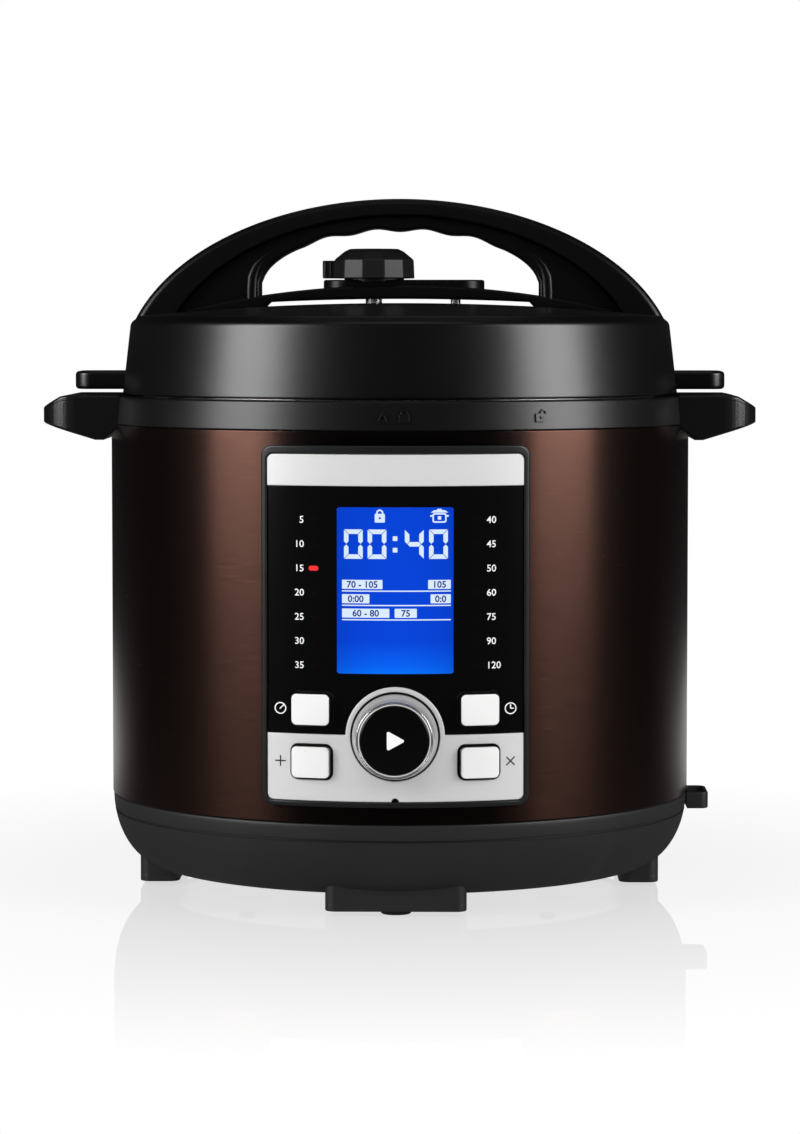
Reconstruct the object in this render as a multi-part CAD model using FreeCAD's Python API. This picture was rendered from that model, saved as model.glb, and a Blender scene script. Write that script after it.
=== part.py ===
import FreeCAD, Part
import math
import os

V = FreeCAD.Vector

# Electric pressure cooker. Millimetres, +Z up, front towards -Y.
# Origin: on the vertical axis of the pot, on the surface that the cooker stands on.

# Driving sizes
bodyRadius = 140.0
baseTop = 44.0
housingTop = 222.5
potRadius = 110.0

# Clearances
runningFit = 0.05
bodyGap = 0.35
slideGap = 0.4
seam = 0.12
lidGap = 0.5
potSideGap = 2.4
lugGap = 0.5

# Walls and sheets
housingWall = 1.0
plasticWall = 2.6
lidWall = 3.0
linerWall = 1.2
potWall = 1.2
lidSheet = 1.2

# Base
baseCurveWidth = 24.0
baseCurveHeight = 35.0
baseRingRadius = bodyRadius - 28.0
baseCreaseDrop = 8.5
baseCreaseDepth = 0.8
rimLipHeight = 7.0
postCircle = bodyRadius - 40.0
postRadius = 5.0
rimLipWall = 2.6
bottomSheet = 1.5
padInner = bodyRadius - 34.0
padOuter = bodyRadius - 15.0
padWidth = 65.0
padBottom = 2.0
rubberRadius = 7.0
rubberRecess = 1.5
screwRadius = 2.0
screwHeadRadius = 3.6

# Spoon holder
spoonReach = 10.0
spoonWidth = 28.0
spoonHeight = 8.0
spoonWall = 2.0

# Pot, heater and sensor
potRimReach = 4.8
potCorner = 14.0
potTop = housingTop + 11.7
heaterRadius = potRadius - 15.0
heaterBottom = baseTop + 16.0
heaterThickness = 12.0
potFloor = heaterBottom + heaterThickness + bodyGap
sensorRadius = 17.0
sensorGap = 2.6
sensorStemRadius = 5.0
terminalPlace = heaterRadius - 31.0
terminalSide = 14.0

# Liner flange and the crown that locks the lid
flangeHeight = housingTop + 3.5
crownInner = potRadius + 16.0
lugCount = 6
lugPitch = 360.0 / lugCount
toothAngle = 26.0
toothReach = 4.8
toothSheet = 1.5
lidLugAngle = 24.0
lidLugReach = 4.4

# Collar and side handles
collarTop = housingTop + 13.5
collarRadius = bodyRadius - 1.6
collarBore = crownInner + linerWall + 1.0
sideHandleReach = bodyRadius + 31.0
sideHandleWidth = 78.0
sideHandleTop = collarTop + 0.5
sideHandleEndTop = sideHandleTop - 5.8
sideHandleEndBottom = sideHandleTop - 15.0
sideHandleRootBottom = sideHandleTop - 21.5
sideHandleWall = 2.6
sideHandleBevel = 11.0
sideHandleCorner = 16.0

# Lid
lidLow = collarTop + lidGap
lidShoulder = collarTop + 35.0
domeEdge = lidShoulder + 3.3
domeCrown = domeEdge + 6.2
domeRadius = bodyRadius - 14.0
skirtLow = bodyRadius - 5.4
skirtHigh = bodyRadius - 9.5
lidLugTop = collarTop + 4.0
lidWallRadius = potRadius + potWall + potRimReach + 2.6
lidPlateHeight = lidShoulder - 6.2
bossRadius = 5.0
bossCircle = potRadius - 32.0
sealInner = potRadius - 3.0
sealOuter = potRadius + 7.0
sealHeight = 8.5
sealWall = 2.0
finReach = bodyRadius + 17.0
finWidth = 34.0
finBottom = collarTop + 3.0
finHeight = 8.7
finCorner = 8.0

# Handle
archHalfSpan = bodyRadius - 6.0
archHeight = 83.5
archCentreHeight = collarTop + 11.0
bandThickness = 7.8
bandFootThickness = 17.6
bandDepth = 36.0
webDepth = 27.0
windowHalfWidth = 67.5
windowRise = 27.0
windowFloor = domeCrown + 7.8
grooveCount = 4
groovePitch = 24.0
grooveDepth = 1.6
slitHeight = 2.0
bridgeTop = windowFloor + 0.8
bridgeSag = 5.5
deckWidth = 78.0
deckDepth = 27.0
deckTop = bridgeTop + 2.6
deckUnder = 2.0
deckCentre = 2.0
deckCorner = 12.0

# Steam valve and float valve
valvePlace = -12.7
pipeRadius = 4.0
pipeBore = 1.6
pipeStand = 5.8
weightRadius = 8.0
weightHeight = 11.0
knobHalfWidth = 19.9
knobFacets = 12
knobSide = 9.0
knobHeight = 13.4
knobTopRadius = 11.6
knobNeckRadius = knobHalfWidth - 5.4
knobTab = 4.9
knobTabWidth = 7.0
knobTabHeight = 8.6
shieldRadius = 12.0
shieldHeight = 10.0
shieldWall = 1.0
floatPlace = 27.0
floatRadius = 2.4
floatHeadRadius = 4.0
floatCapRadius = 6.5
floatTravel = 6.0

# Control panel
panelWidth = 122.0
panelBottom = baseTop + 8.0
panelTop = housingTop - 6.5
panelCorner = 5.0
bezelWidth = 2.6
bezelStand = 2.4
fasciaStand = 1.3
trimStand = 1.8
topBandHeight = 14.4
lowerTrimTop = panelBottom + 33.1
dialRadius = 19.6
dialTaper = 2.2
dialLip = 1.4
dialInner = dialRadius - dialTaper - dialLip
dialStand = 18.4
dialHeight = panelBottom + 32.5
knobPlate = dialRadius + 2.9
screenWidth = 52.6
screenHeight = 75.2
screenBottom = panelTop - 103.0
keyWidth = 18.0
keyHeight = 14.3
keyCorner = 2.6
keySide = knobPlate + 15.0
keyHeights = {"upper": dialHeight + 12.0, "lower": dialHeight - 12.0}
keyStand = 5.0
keyTravel = 1.2
keyFlange = 1.2
capTravel = 1.5
stemRadius = 4.5
encoderDepth = 3.2
boardDepth = bodyRadius - 18.0
boardSheet = 1.6
boardWidth = 100.0
lightCount = 7
lightSide = screenWidth / 2 + 13.7
lightTop = panelTop - 33.5
lightStep = 11.0
lightWidth = 4.0

# Power inlet
inletWidth = 27.0
inletHeight = 20.0
inletPlace = baseTop - 17.5
inletDepth = 22.0
inletCavity = 17.0
inletWall = 1.6
inletBoss = 5.0
inletFace = bodyRadius + 1.0

# Condensate cup
cupWidth = 56.0
cupDepth = 16.8
cupTop = housingTop - 9.5
cupBottom = cupTop - 53.0
cupWall = 1.5
cupFace = bodyRadius + 1.6

# Cutting tools reach past the whole cooker
farBelow = -50.0
farAbove = domeCrown + archHeight + 50.0
farOut = sideHandleReach + 50.0

parts = {}


def corners_face(corners, place):
    """A closed outline through (u, v, rounding) corners, laid into space by place(u, v)."""
    count = len(corners)
    arcs = []
    for i, (u, v, rounding) in enumerate(corners):
        here = V(u, v, 0)
        back = (V(corners[i - 1][0], corners[i - 1][1], 0) - here).normalize()
        onward = (V(corners[(i + 1) % count][0], corners[(i + 1) % count][1], 0) - here).normalize()
        if not rounding:
            arcs.append((here, None, here))
            continue
        half = back.getAngle(onward) / 2
        reach = rounding / math.tan(half)
        inward = (back + onward).normalize()
        middle = here + inward * (rounding / math.sin(half) - rounding)
        arcs.append((here + back * reach, middle, here + onward * reach))
    edges = []
    for i, (start, middle, end) in enumerate(arcs):
        if middle:
            spots = [place(p.x, p.y) for p in (start, middle, end)]
            edges.append(Part.Arc(*spots).toShape())
        follow = arcs[(i + 1) % count][0]
        if (follow - end).Length > 1e-6:
            edges.append(Part.LineSegment(place(end.x, end.y), place(follow.x, follow.y)).toShape())
    return Part.Face(Part.Wire(edges))


def turned(corners):
    """A body of revolution about the pot's axis from (radius, height, rounding) corners."""
    face = corners_face(corners, lambda u, v: V(u, 0, v))
    return face.revolve(V(0, 0, 0), V(0, 0, 1), 360)


def box(x0, x1, y0, y1, z0, z1):
    return Part.makeBox(x1 - x0, y1 - y0, z1 - z0, V(x0, y0, z0))


def disc(radius, z0, z1, x=0.0, y=0.0):
    return Part.makeCylinder(radius, z1 - z0, V(x, y, z0))


def through(radius, x=0.0, y=0.0):
    """A cutting cylinder taller than the whole cooker."""
    return disc(radius, farBelow, farAbove, x, y)


def tube(inner, outer, z0, z1, x=0.0, y=0.0):
    return disc(outer, z0, z1, x, y).cut(disc(inner, z0 - 1, z1 + 1, x, y))


def plate(width, height, rounding, y0, y1, x=0.0, z=0.0):
    """A rounded rectangle centred at (x, z), standing from y0 to y1."""
    half, tall = width / 2, height / 2
    corners = [(x - half, z - tall, rounding), (x + half, z - tall, rounding),
               (x + half, z + tall, rounding), (x - half, z + tall, rounding)]
    face = corners_face(corners, lambda u, v: V(u, y0, v))
    return face.extrude(V(0, y1 - y0, 0))


def flat_plate(width, depth, rounding, z0, z1, x=0.0, y=0.0):
    """A rounded rectangle centred at (x, y), lying from z0 to z1."""
    half, deep = width / 2, depth / 2
    corners = [(x - half, y - deep, rounding), (x + half, y - deep, rounding),
               (x + half, y + deep, rounding), (x - half, y + deep, rounding)]
    face = corners_face(corners, lambda u, v: V(u, v, z0))
    return face.extrude(V(0, 0, z1 - z0))


def wedge(inner, outer, z0, z1, middle, width):
    """A ring sector centred on the angle middle, width degrees wide."""
    face = corners_face([(inner, z0, 0), (outer, z0, 0), (outer, z1, 0), (inner, z1, 0)],
                        lambda u, v: V(u, 0, v))
    sector = face.revolve(V(0, 0, 0), V(0, 0, 1), width)
    sector.rotate(V(0, 0, 0), V(0, 0, 1), middle - width / 2)
    return sector


def around(shape, angle):
    copy = shape.copy()
    copy.rotate(V(0, 0, 0), V(0, 0, 1), angle)
    return copy


def fused(shapes):
    whole = shapes[0].multiFuse(shapes[1:])
    return whole.removeSplitter()


def softened(shape, rounding, wanted):
    """Round the edges that wanted(edge) picks."""
    picked = [edge for edge in shape.Edges if wanted(edge)]
    return shape.makeFillet(rounding, picked)


def keep(name, shape):
    parts[name] = shape


# ---------------------------------------------------------------- base

def bowl(inset, top):
    """The solid bounded by the base's side curve, down to its ring and up to top."""
    width, height = baseCurveWidth - inset, baseCurveHeight - inset
    middle = bodyRadius - 0.4 - baseCurveWidth
    spots = []
    for step in range(0, 9):
        turn = math.radians(90 * step / 8)
        spots.append(V(middle + width * math.cos(turn), 0, baseTop - height * math.sin(turn)))
    curve = Part.BSplineCurve()
    curve.interpolate(spots, InitialTangent=V(0, 0, -1), FinalTangent=V(-1, 0, 0))
    low, high = spots[-1], spots[0]
    edges = [curve.toShape(), Part.LineSegment(low, V(0, 0, low.z)).toShape(),
             Part.LineSegment(V(0, 0, low.z), V(0, 0, top)).toShape(),
             Part.LineSegment(V(0, 0, top), V(high.x, 0, top)).toShape()]
    if top > high.z + 1e-6:
        edges.append(Part.LineSegment(V(high.x, 0, top), high).toShape())
    return Part.Face(Part.Wire(edges)).revolve(V(0, 0, 0), V(0, 0, 1), 360)


baseLow = baseTop - baseCurveHeight
supportHeight = baseTop + 4
lipOuter = bodyRadius - housingWall - 0.2
lipInner = lipOuter - rimLipWall


def make_base():
    shell = bowl(0, baseTop).cut(bowl(plasticWall, baseTop + 1))
    shell = shell.cut(disc(baseRingRadius, 0, baseLow + plasticWall + 1))
    crease = baseTop - baseCreaseDrop
    shell = shell.cut(tube(bodyRadius - 0.9 - baseCreaseDepth, bodyRadius + 5, crease, crease + 1.0))
    lip = turned([(lipInner, baseTop - 6, 0), (lipOuter, baseTop - 6, 0),
                  (lipOuter, baseTop + rimLipHeight, 0.8), (lipInner, baseTop + rimLipHeight, 0.8)])
    ledge = tube(baseRingRadius - 5, baseRingRadius + 4, baseLow + bottomSheet, baseLow + 5)
    pads = []
    hollow = bowl(1.0, baseTop + 1)
    for quarter in range(4):
        pad = box(padInner, padOuter, -padWidth / 2, padWidth / 2, padBottom, baseTop - 10)
        pad = softened(pad, 5.0, lambda e: abs(e.tangentAt(e.FirstParameter).z) > 0.9)
        pad = softened(pad, 2.5, lambda e: e.BoundBox.ZMax < padBottom + 0.1)
        pad = pad.cut(hollow.cut(disc(baseRingRadius + 6, 0, baseLow + 6)))
        middle = (padInner + padOuter) / 2
        pad = pad.cut(disc(rubberRadius + seam, 0, padBottom + rubberRecess, middle))
        pad = pad.cut(disc(baseRingRadius - 5, baseLow, baseTop))
        pad = pad.cut(disc(baseRingRadius, baseLow - seam, baseLow + bottomSheet))
        pads.append(around(pad, 90 * quarter))
    posts = []
    for place in range(4):
        angle = math.radians(45 + 90 * place)
        spot = (postCircle * math.cos(angle), postCircle * math.sin(angle))
        posts.append(disc(postRadius, baseLow + bottomSheet, supportHeight, *spot))
        posts.append(box(postCircle, baseRingRadius + 2, -3, 3, baseLow + bottomSheet, baseLow + 5))
        posts[-1].rotate(V(0, 0, 0), V(0, 0, 1), 45 + 90 * place)
    half = inletWidth / 2 + inletBoss
    tall = inletHeight / 2 + inletBoss
    boss = plate(2 * half, 2 * tall, 3.0, inletFace - 24, inletFace - 1.0, 0, inletPlace)
    boss = boss.cut(bowl(plasticWall, baseTop + 1))
    whole = fused([shell, lip, ledge, boss] + pads + posts)
    whole = whole.cut(plate(inletWidth + 2 * seam, inletHeight + 2 * seam, 2.0 + seam,
                            inletFace - 40, inletFace + 5, 0, inletPlace))
    for place in range(4):
        angle = math.radians(45 + 90 * place)
        x, y = postCircle * math.cos(angle), postCircle * math.sin(angle)
        whole = whole.cut(disc(screwRadius + seam, 0, baseLow + 14, x, y))
        whole = whole.cut(disc(screwRadius + seam, supportHeight - 4, supportHeight + 1, x, y))
    keep("base_shell", whole)


def make_feet():
    feet = []
    middle = (padInner + padOuter) / 2
    for quarter in range(4):
        foot = disc(rubberRadius, 0, padBottom + rubberRecess - seam, middle)
        foot = softened(foot, 0.8, lambda e: e.BoundBox.ZMax < 0.1)
        feet.append(around(foot, 90 * quarter))
    keep("rubber_feet", Part.makeCompound(feet))


def make_bottom():
    cover = disc(baseRingRadius - 0.5, baseLow, baseLow + bottomSheet - seam)
    for row in range(-3, 4):
        for side in (-1, 1):
            x = 30 * side
            slot = flat_plate(34, 4, 1.9, 0, baseLow + 5, x, 12.0 * row)
            cover = cover.cut(slot)
    screws = []
    for place in range(4):
        angle = math.radians(45 + 90 * place)
        x, y = postCircle * math.cos(angle), postCircle * math.sin(angle)
        cover = cover.cut(disc(screwRadius + 0.2, 0, baseLow + 5, x, y))
        head = disc(screwHeadRadius, baseLow - 2.0, baseLow - seam, x, y)
        screws.append(fused([head, disc(screwRadius, baseLow - 1, baseLow + 12, x, y)]))
    keep("bottom_cover", cover)
    keep("bottom_screws", Part.makeCompound(screws))


def make_spoon_holder():
    top, bottom = baseTop - 0.5, baseTop - 0.5 - spoonHeight
    start = bodyRadius - 4
    outer = flat_plate(spoonReach + 4, spoonWidth, 4.0, bottom, top,
                       start + (spoonReach + 4) / 2, 0)
    inner = flat_plate(spoonReach - spoonWall - 0.6, spoonWidth - 2 * spoonWall, 2.4, bottom - 1, top + 1,
                       bodyRadius + 0.6 + (spoonReach - spoonWall - 0.6) / 2, 0)
    loop = outer.cut(inner).cut(disc(bodyRadius + seam, bottom - 1, top + 1))
    keep("spoon_holder", loop)


# ---------------------------------------------------------------- outer steel shell and collar

panelMiddle = (panelTop + panelBottom) / 2
panelHeight = panelTop - panelBottom
windowEdge = 2.0


def make_housing():
    shell = tube(bodyRadius - housingWall, bodyRadius, baseTop + seam, housingTop - seam)
    opening = plate(panelWidth - 2 * windowEdge, panelHeight - 2 * windowEdge, 4.0,
                    -bodyRadius - 10, -bodyRadius / 2, 0, panelMiddle)
    keep("outer_shell", shell.cut(opening))


def make_collar():
    ring = turned([(collarBore, housingTop, 0), (bodyRadius - 0.3, housingTop, 0.6),
                   (collarRadius, collarTop, 1.2), (collarBore, collarTop, 0.8)])
    lip = tube(lipInner, lipOuter, housingTop - 5.5, housingTop + 1)
    shelf = tube(crownInner - 6, collarBore + 1, flangeHeight - 3.5, flangeHeight - seam)
    wall = tube(collarBore - 1.5, collarBore + 1, flangeHeight - 4, collarTop - 5)
    wall = wall.cut(disc(collarBore + 0.5, flangeHeight - seam, collarTop))
    spout = box(-9, 9, bodyRadius - 12, bodyRadius + 7, housingTop - 5, housingTop + 3)
    spout = spout.cut(disc(bodyRadius + seam, farBelow, housingTop))
    spout = spout.cut(box(-7, 7, bodyRadius - 2, bodyRadius + 5, housingTop - 8, housingTop + 1.5))
    web = tube(crownInner - 6, bodyRadius - 3, housingTop, housingTop + 2)
    keep("collar", fused([ring, lip, shelf, wall, web, spout]))


def make_side_handles():
    reach, root = sideHandleReach, collarRadius - 6
    low, high = sideHandleRootBottom - 20, sideHandleTop + 5
    corners = [(root, sideHandleRootBottom + 9, 0), (bodyRadius + 0.3, sideHandleRootBottom, 0),
               (bodyRadius + 4, sideHandleRootBottom, 2), (reach - 5, sideHandleEndBottom, 3),
               (reach, sideHandleEndBottom + 2, 1.5), (reach, sideHandleEndTop, 1.5),
               (reach - sideHandleBevel, sideHandleTop, 4), (root, sideHandleTop, 0)]
    face = corners_face(corners, lambda u, v: V(u, -sideHandleWidth / 2, v))
    body = face.extrude(V(0, sideHandleWidth, 0))
    body = body.common(flat_plate(2 * (reach - root), sideHandleWidth, sideHandleCorner, low, high, root, 0))
    wall = sideHandleWall
    hollow = [(bodyRadius + 4, low, 0), (reach - wall - 1.5, sideHandleEndBottom - 8, 0),
              (reach - wall - 1.5, sideHandleEndTop - 1.5, 1.5),
              (reach - sideHandleBevel - 1.5, sideHandleTop - wall - 0.6, 3),
              (bodyRadius + 4, sideHandleTop - wall - 0.6, 3)]
    inside = corners_face(hollow, lambda u, v: V(u, -sideHandleWidth / 2 + wall, v))
    inside = inside.extrude(V(0, sideHandleWidth - 2 * wall, 0))
    inside = inside.common(flat_plate(2 * (reach - root - wall), sideHandleWidth - 2 * wall,
                                      sideHandleCorner - wall, low - 5, high, root, 0))
    seat = turned([(0, housingTop, 0), (bodyRadius - 0.3 + seam, housingTop, 0),
                   (collarRadius + seam, collarTop, 0), (collarRadius + seam, high, 0), (0, high, 0)])
    hand = body.cut(inside).cut(disc(bodyRadius + seam, farBelow, housingTop)).cut(seat)
    keep("side_handles", Part.makeCompound([hand, around(hand, 180)]))


# ---------------------------------------------------------------- liner, heater, sensor

potOuter = potRadius + potWall
linerInner = potOuter + potSideGap
linerOuter = linerInner + linerWall
linerFloor = heaterBottom - linerWall
crownOuter = crownInner + linerWall
toothBottom = lidLugTop + lugGap
toothTop = toothBottom + toothSheet
heaterTop = heaterBottom + heaterThickness


def make_liner():
    cup = turned([(0, linerFloor, 0), (linerOuter, linerFloor, 6), (linerOuter, flangeHeight, 2),
                  (crownOuter, flangeHeight, 1.5), (crownOuter, toothTop, 0),
                  (crownInner, toothTop, 0), (crownInner, flangeHeight + linerWall, 0.5),
                  (linerInner, flangeHeight + linerWall, 3), (linerInner, heaterBottom, 5),
                  (0, heaterBottom, 0)])
    teeth = []
    for place in range(lugCount):
        teeth.append(wedge(crownInner - toothReach, crownInner, toothBottom, toothTop,
                           -90 + lugPitch * place, toothAngle))
    keep("liner_teeth", Part.makeCompound(teeth))
    cup = cup.cut(disc(sensorRadius + sensorGap, linerFloor - 1, heaterBottom + 1))
    for side in (-1, 1):
        cup = cup.cut(disc(5, linerFloor - 1, heaterBottom + 1, terminalPlace, terminalSide * side))
    keep("liner", cup)


def make_heater():
    hub = turned([(0, heaterBottom + 4, 0), (sensorRadius + sensorGap + 8, heaterBottom + 4, 0),
                  (sensorRadius + sensorGap + 8, heaterTop, 0), (0, heaterTop, 0)])
    plate_body = turned([(0, heaterBottom, 0), (heaterRadius, heaterBottom, 2),
                         (heaterRadius, heaterTop - 3, 1.5), (heaterRadius - 8, heaterTop, 4),
                         (0, heaterTop, 0)])
    whole = fused([plate_body, hub]).cut(disc(sensorRadius + sensorGap, 0, heaterTop + 5))
    pins = []
    for side in (-1, 1):
        y = terminalSide * side
        whole = whole.cut(disc(3.0 + seam, heaterBottom - 1, heaterBottom + 6, terminalPlace, y))
        pin = disc(3.0, heaterBottom - 12, heaterBottom + 5.5, terminalPlace, y)
        blade = box(terminalPlace - 3.2, terminalPlace + 3.2, y - 0.5, y + 0.5,
                    heaterBottom - 21, heaterBottom - 11)
        pins.append(fused([pin, blade]))
    keep("heater_plate", whole)
    keep("heater_terminals", Part.makeCompound(pins))


holderFloor = linerFloor - 9
springFoot = holderFloor + 1.0


def make_sensor():
    top = potFloor - bodyGap
    rim = sensorRadius + sensorGap
    holder = turned([(sensorStemRadius + runningFit, holderFloor, 0), (rim - 1, holderFloor, 1.5),
                     (rim - 1, linerFloor - 1, 0), (rim + 4, linerFloor - 1, 0), (rim + 4, linerFloor, 0),
                     (rim - 2, linerFloor, 0), (rim - 2, springFoot, 0),
                     (sensorStemRadius + runningFit, springFoot, 0)])
    keep("sensor_holder", holder)
    cap = turned([(0, top - 7, 0), (sensorRadius, top - 7, 0.8), (sensorRadius, top, 1.5), (0, top, 0)])
    stem = disc(sensorStemRadius, holderFloor - 7, top - 6)
    keep("sensor_plunger", fused([cap, stem]))
    wire = 0.7
    coil = Part.makeHelix(2.8, top - 7 - springFoot - 2 * wire - 0.8, sensorStemRadius + 3)
    coil.translate(V(0, 0, springFoot + wire + 0.4))
    start = coil.Vertexes[0].Point
    ring = Part.Wire(Part.makeCircle(wire, start, V(0, 1, 0.06)))
    spring = Part.Wire(coil.Edges).makePipeShell([ring], True, True)
    keep("sensor_spring", spring)


def make_liner_support():
    low, sheet = supportHeight, 1.5
    ring = tube(sensorRadius + sensorGap + 6, postCircle + postRadius, low, low + sheet)
    screws = []
    for place in range(4):
        angle = math.radians(90 * place + 45)
        x, y = postCircle * math.cos(angle), postCircle * math.sin(angle)
        shank = disc(screwRadius, low - 3.5, low + sheet + 1, x, y)
        screws.append(fused([shank, disc(screwHeadRadius, low + sheet + seam, low + sheet + 2.4, x, y)]))
        ring = ring.cut(disc(screwRadius + seam, low - 1, low + 3, x, y))
    for side in (-1, 1):
        ring = ring.cut(box(terminalPlace - 8, terminalPlace + 8, terminalSide * side - 7,
                            terminalSide * side + 7, low - 1, low + 3))
    legs = [around(disc(4, low + sheet, linerFloor, 52), 60 + 120 * place) for place in range(3)]
    keep("liner_spring_plate", fused([ring] + legs))
    keep("spring_plate_screws", Part.makeCompound(screws))
    body = box(-10, 10, 60, 72, low - 13, low - 1)
    lever = box(-8, 8, 65, 67, low - 1.5, low - seam)
    keep("pressure_switch", fused([body, lever]))
    fuse = Part.makeCylinder(2.2, 16, V(-8, -45, linerFloor - 2.4), V(1, 0, 0))
    keep("thermal_fuse", fuse)


# ---------------------------------------------------------------- power supply and inlet

def make_power():
    low = baseLow + bottomSheet + 6
    board = flat_plate(96, 120, 6, low, low + boardSheet, -20, 0)
    keep("power_board", board)
    top = low + boardSheet
    coil = box(-52, -28, -40, -16, top, top + 16)
    relay = box(-20, 0, -48, -28, top, top + 14)
    store = disc(7, top, top + 17, -40, 22)
    film = box(-22, -4, 12, 21, top, top + 12)
    sink = box(4, 8, -10, 30, top, top + 16)
    choke = tube(3.5, 8, top, top + 7, -12, 44)
    keep("power_components", Part.makeCompound([coil, relay, store, film, sink, choke]))


def make_inlet():
    face, back = inletFace, inletFace - inletDepth
    body = plate(inletWidth, inletHeight, 2.0, back, face - 0.5, 0, inletPlace)
    flange = plate(inletWidth + 7, inletHeight + 5, 2.5, face - 1.0 + seam, face + 0.6, 0, inletPlace)
    wall = 2 * inletWall
    cavity = [(-(inletWidth - wall) / 2, inletPlace - (inletHeight - wall) / 2, 1),
              ((inletWidth - wall) / 2, inletPlace - (inletHeight - wall) / 2, 1),
              ((inletWidth - wall) / 2, inletPlace + (inletHeight - wall) / 2 - 5, 1),
              ((inletWidth - wall) / 2 - 5, inletPlace + (inletHeight - wall) / 2, 1),
              (-(inletWidth - wall) / 2 + 5, inletPlace + (inletHeight - wall) / 2, 1),
              (-(inletWidth - wall) / 2, inletPlace + (inletHeight - wall) / 2 - 5, 1)]
    hollow = corners_face(cavity, lambda u, v: V(u, face - inletCavity, v)).extrude(V(0, inletCavity + 2, 0))
    whole = fused([body, flange]).cut(hollow)
    blades = []
    for x, z in ((-7, inletPlace - 2), (7, inletPlace - 2), (0, inletPlace + 2)):
        hole = box(x - 1.0 - seam, x + 1.0 + seam, back - 2, face - inletCavity + 1,
                   z - 2.0 - seam, z + 2.0 + seam)
        whole = whole.cut(hole)
        blades.append(box(x - 1.0, x + 1.0, back - 5, face - 4.0, z - 2.0, z + 2.0))
    keep("power_inlet", whole)
    keep("inlet_pins", Part.makeCompound(blades))


# ---------------------------------------------------------------- condensate cup

def make_cup():
    middle = (cupTop + cupBottom) / 2
    tall = cupTop - cupBottom
    outer = plate(cupWidth, tall, 5.0, cupFace, cupFace + cupDepth, 0, middle)
    inner = flat_plate(cupWidth - 2 * cupWall, cupDepth - 2 * cupWall, 3.0, cupBottom + cupWall, cupTop + 5,
                       0, cupFace + cupDepth / 2)
    outer = outer.fuse(box(-cupWidth / 2, cupWidth / 2, cupFace, cupFace + cupDepth, cupTop - 8, cupTop))
    cup = outer.removeSplitter().cut(inner)
    keep("condensate_cup", cup)
    back = box(-cupWidth / 2 - 4, cupWidth / 2 + 4, bodyRadius - 8, cupFace - slideGap,
               cupBottom - 2, cupTop + 2)
    back = back.cut(disc(bodyRadius + seam, cupBottom - 5, cupTop + 5))
    rails = []
    for side in (-1, 1):
        near = side * (cupWidth / 2 + slideGap)
        far = side * (cupWidth / 2 + 4)
        rails.append(box(min(near, far), max(near, far), bodyRadius - 4, cupFace + 5,
                         cupBottom + 8, cupTop - 2).cut(through(bodyRadius + seam)))
    ledge = box(-cupWidth / 2 - 4, cupWidth / 2 + 4, bodyRadius - 8, cupFace + 4, cupBottom - 3,
                cupBottom - slideGap).cut(through(bodyRadius + seam))
    keep("cup_bracket", fused([back, ledge] + rails))


# ---------------------------------------------------------------- control panel

faceWidth = panelWidth - 2 * bezelWidth
faceBottom = panelBottom + bezelWidth
faceTop = panelTop - bezelWidth
keyAngle = math.degrees(math.asin(keySide / bodyRadius))
keyPlaces = []
for row in ("upper", "lower"):
    for side, turn in (("left", -keyAngle), ("right", keyAngle)):
        keyPlaces.append((row, side, turn, keyHeights[row]))


def band(width, low, high, rounding, inner, outer):
    """A curved panel piece: a rounded rectangle seen from the front, between two radii."""
    prism = plate(width, high - low, rounding, -bodyRadius - 20, -bodyRadius + 40, 0, (low + high) / 2)
    return prism.common(tube(inner, outer, low - 1, high + 1))


def key_block(turn, height, width, tall, rounding, inner, outer):
    block = plate(width, tall, rounding, -outer, -inner, 0, height)
    return around(block, turn)


def dial_hole(radius):
    return Part.makeCylinder(radius, 60, V(0, -bodyRadius - 25, dialHeight), V(0, 1, 0))


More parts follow.
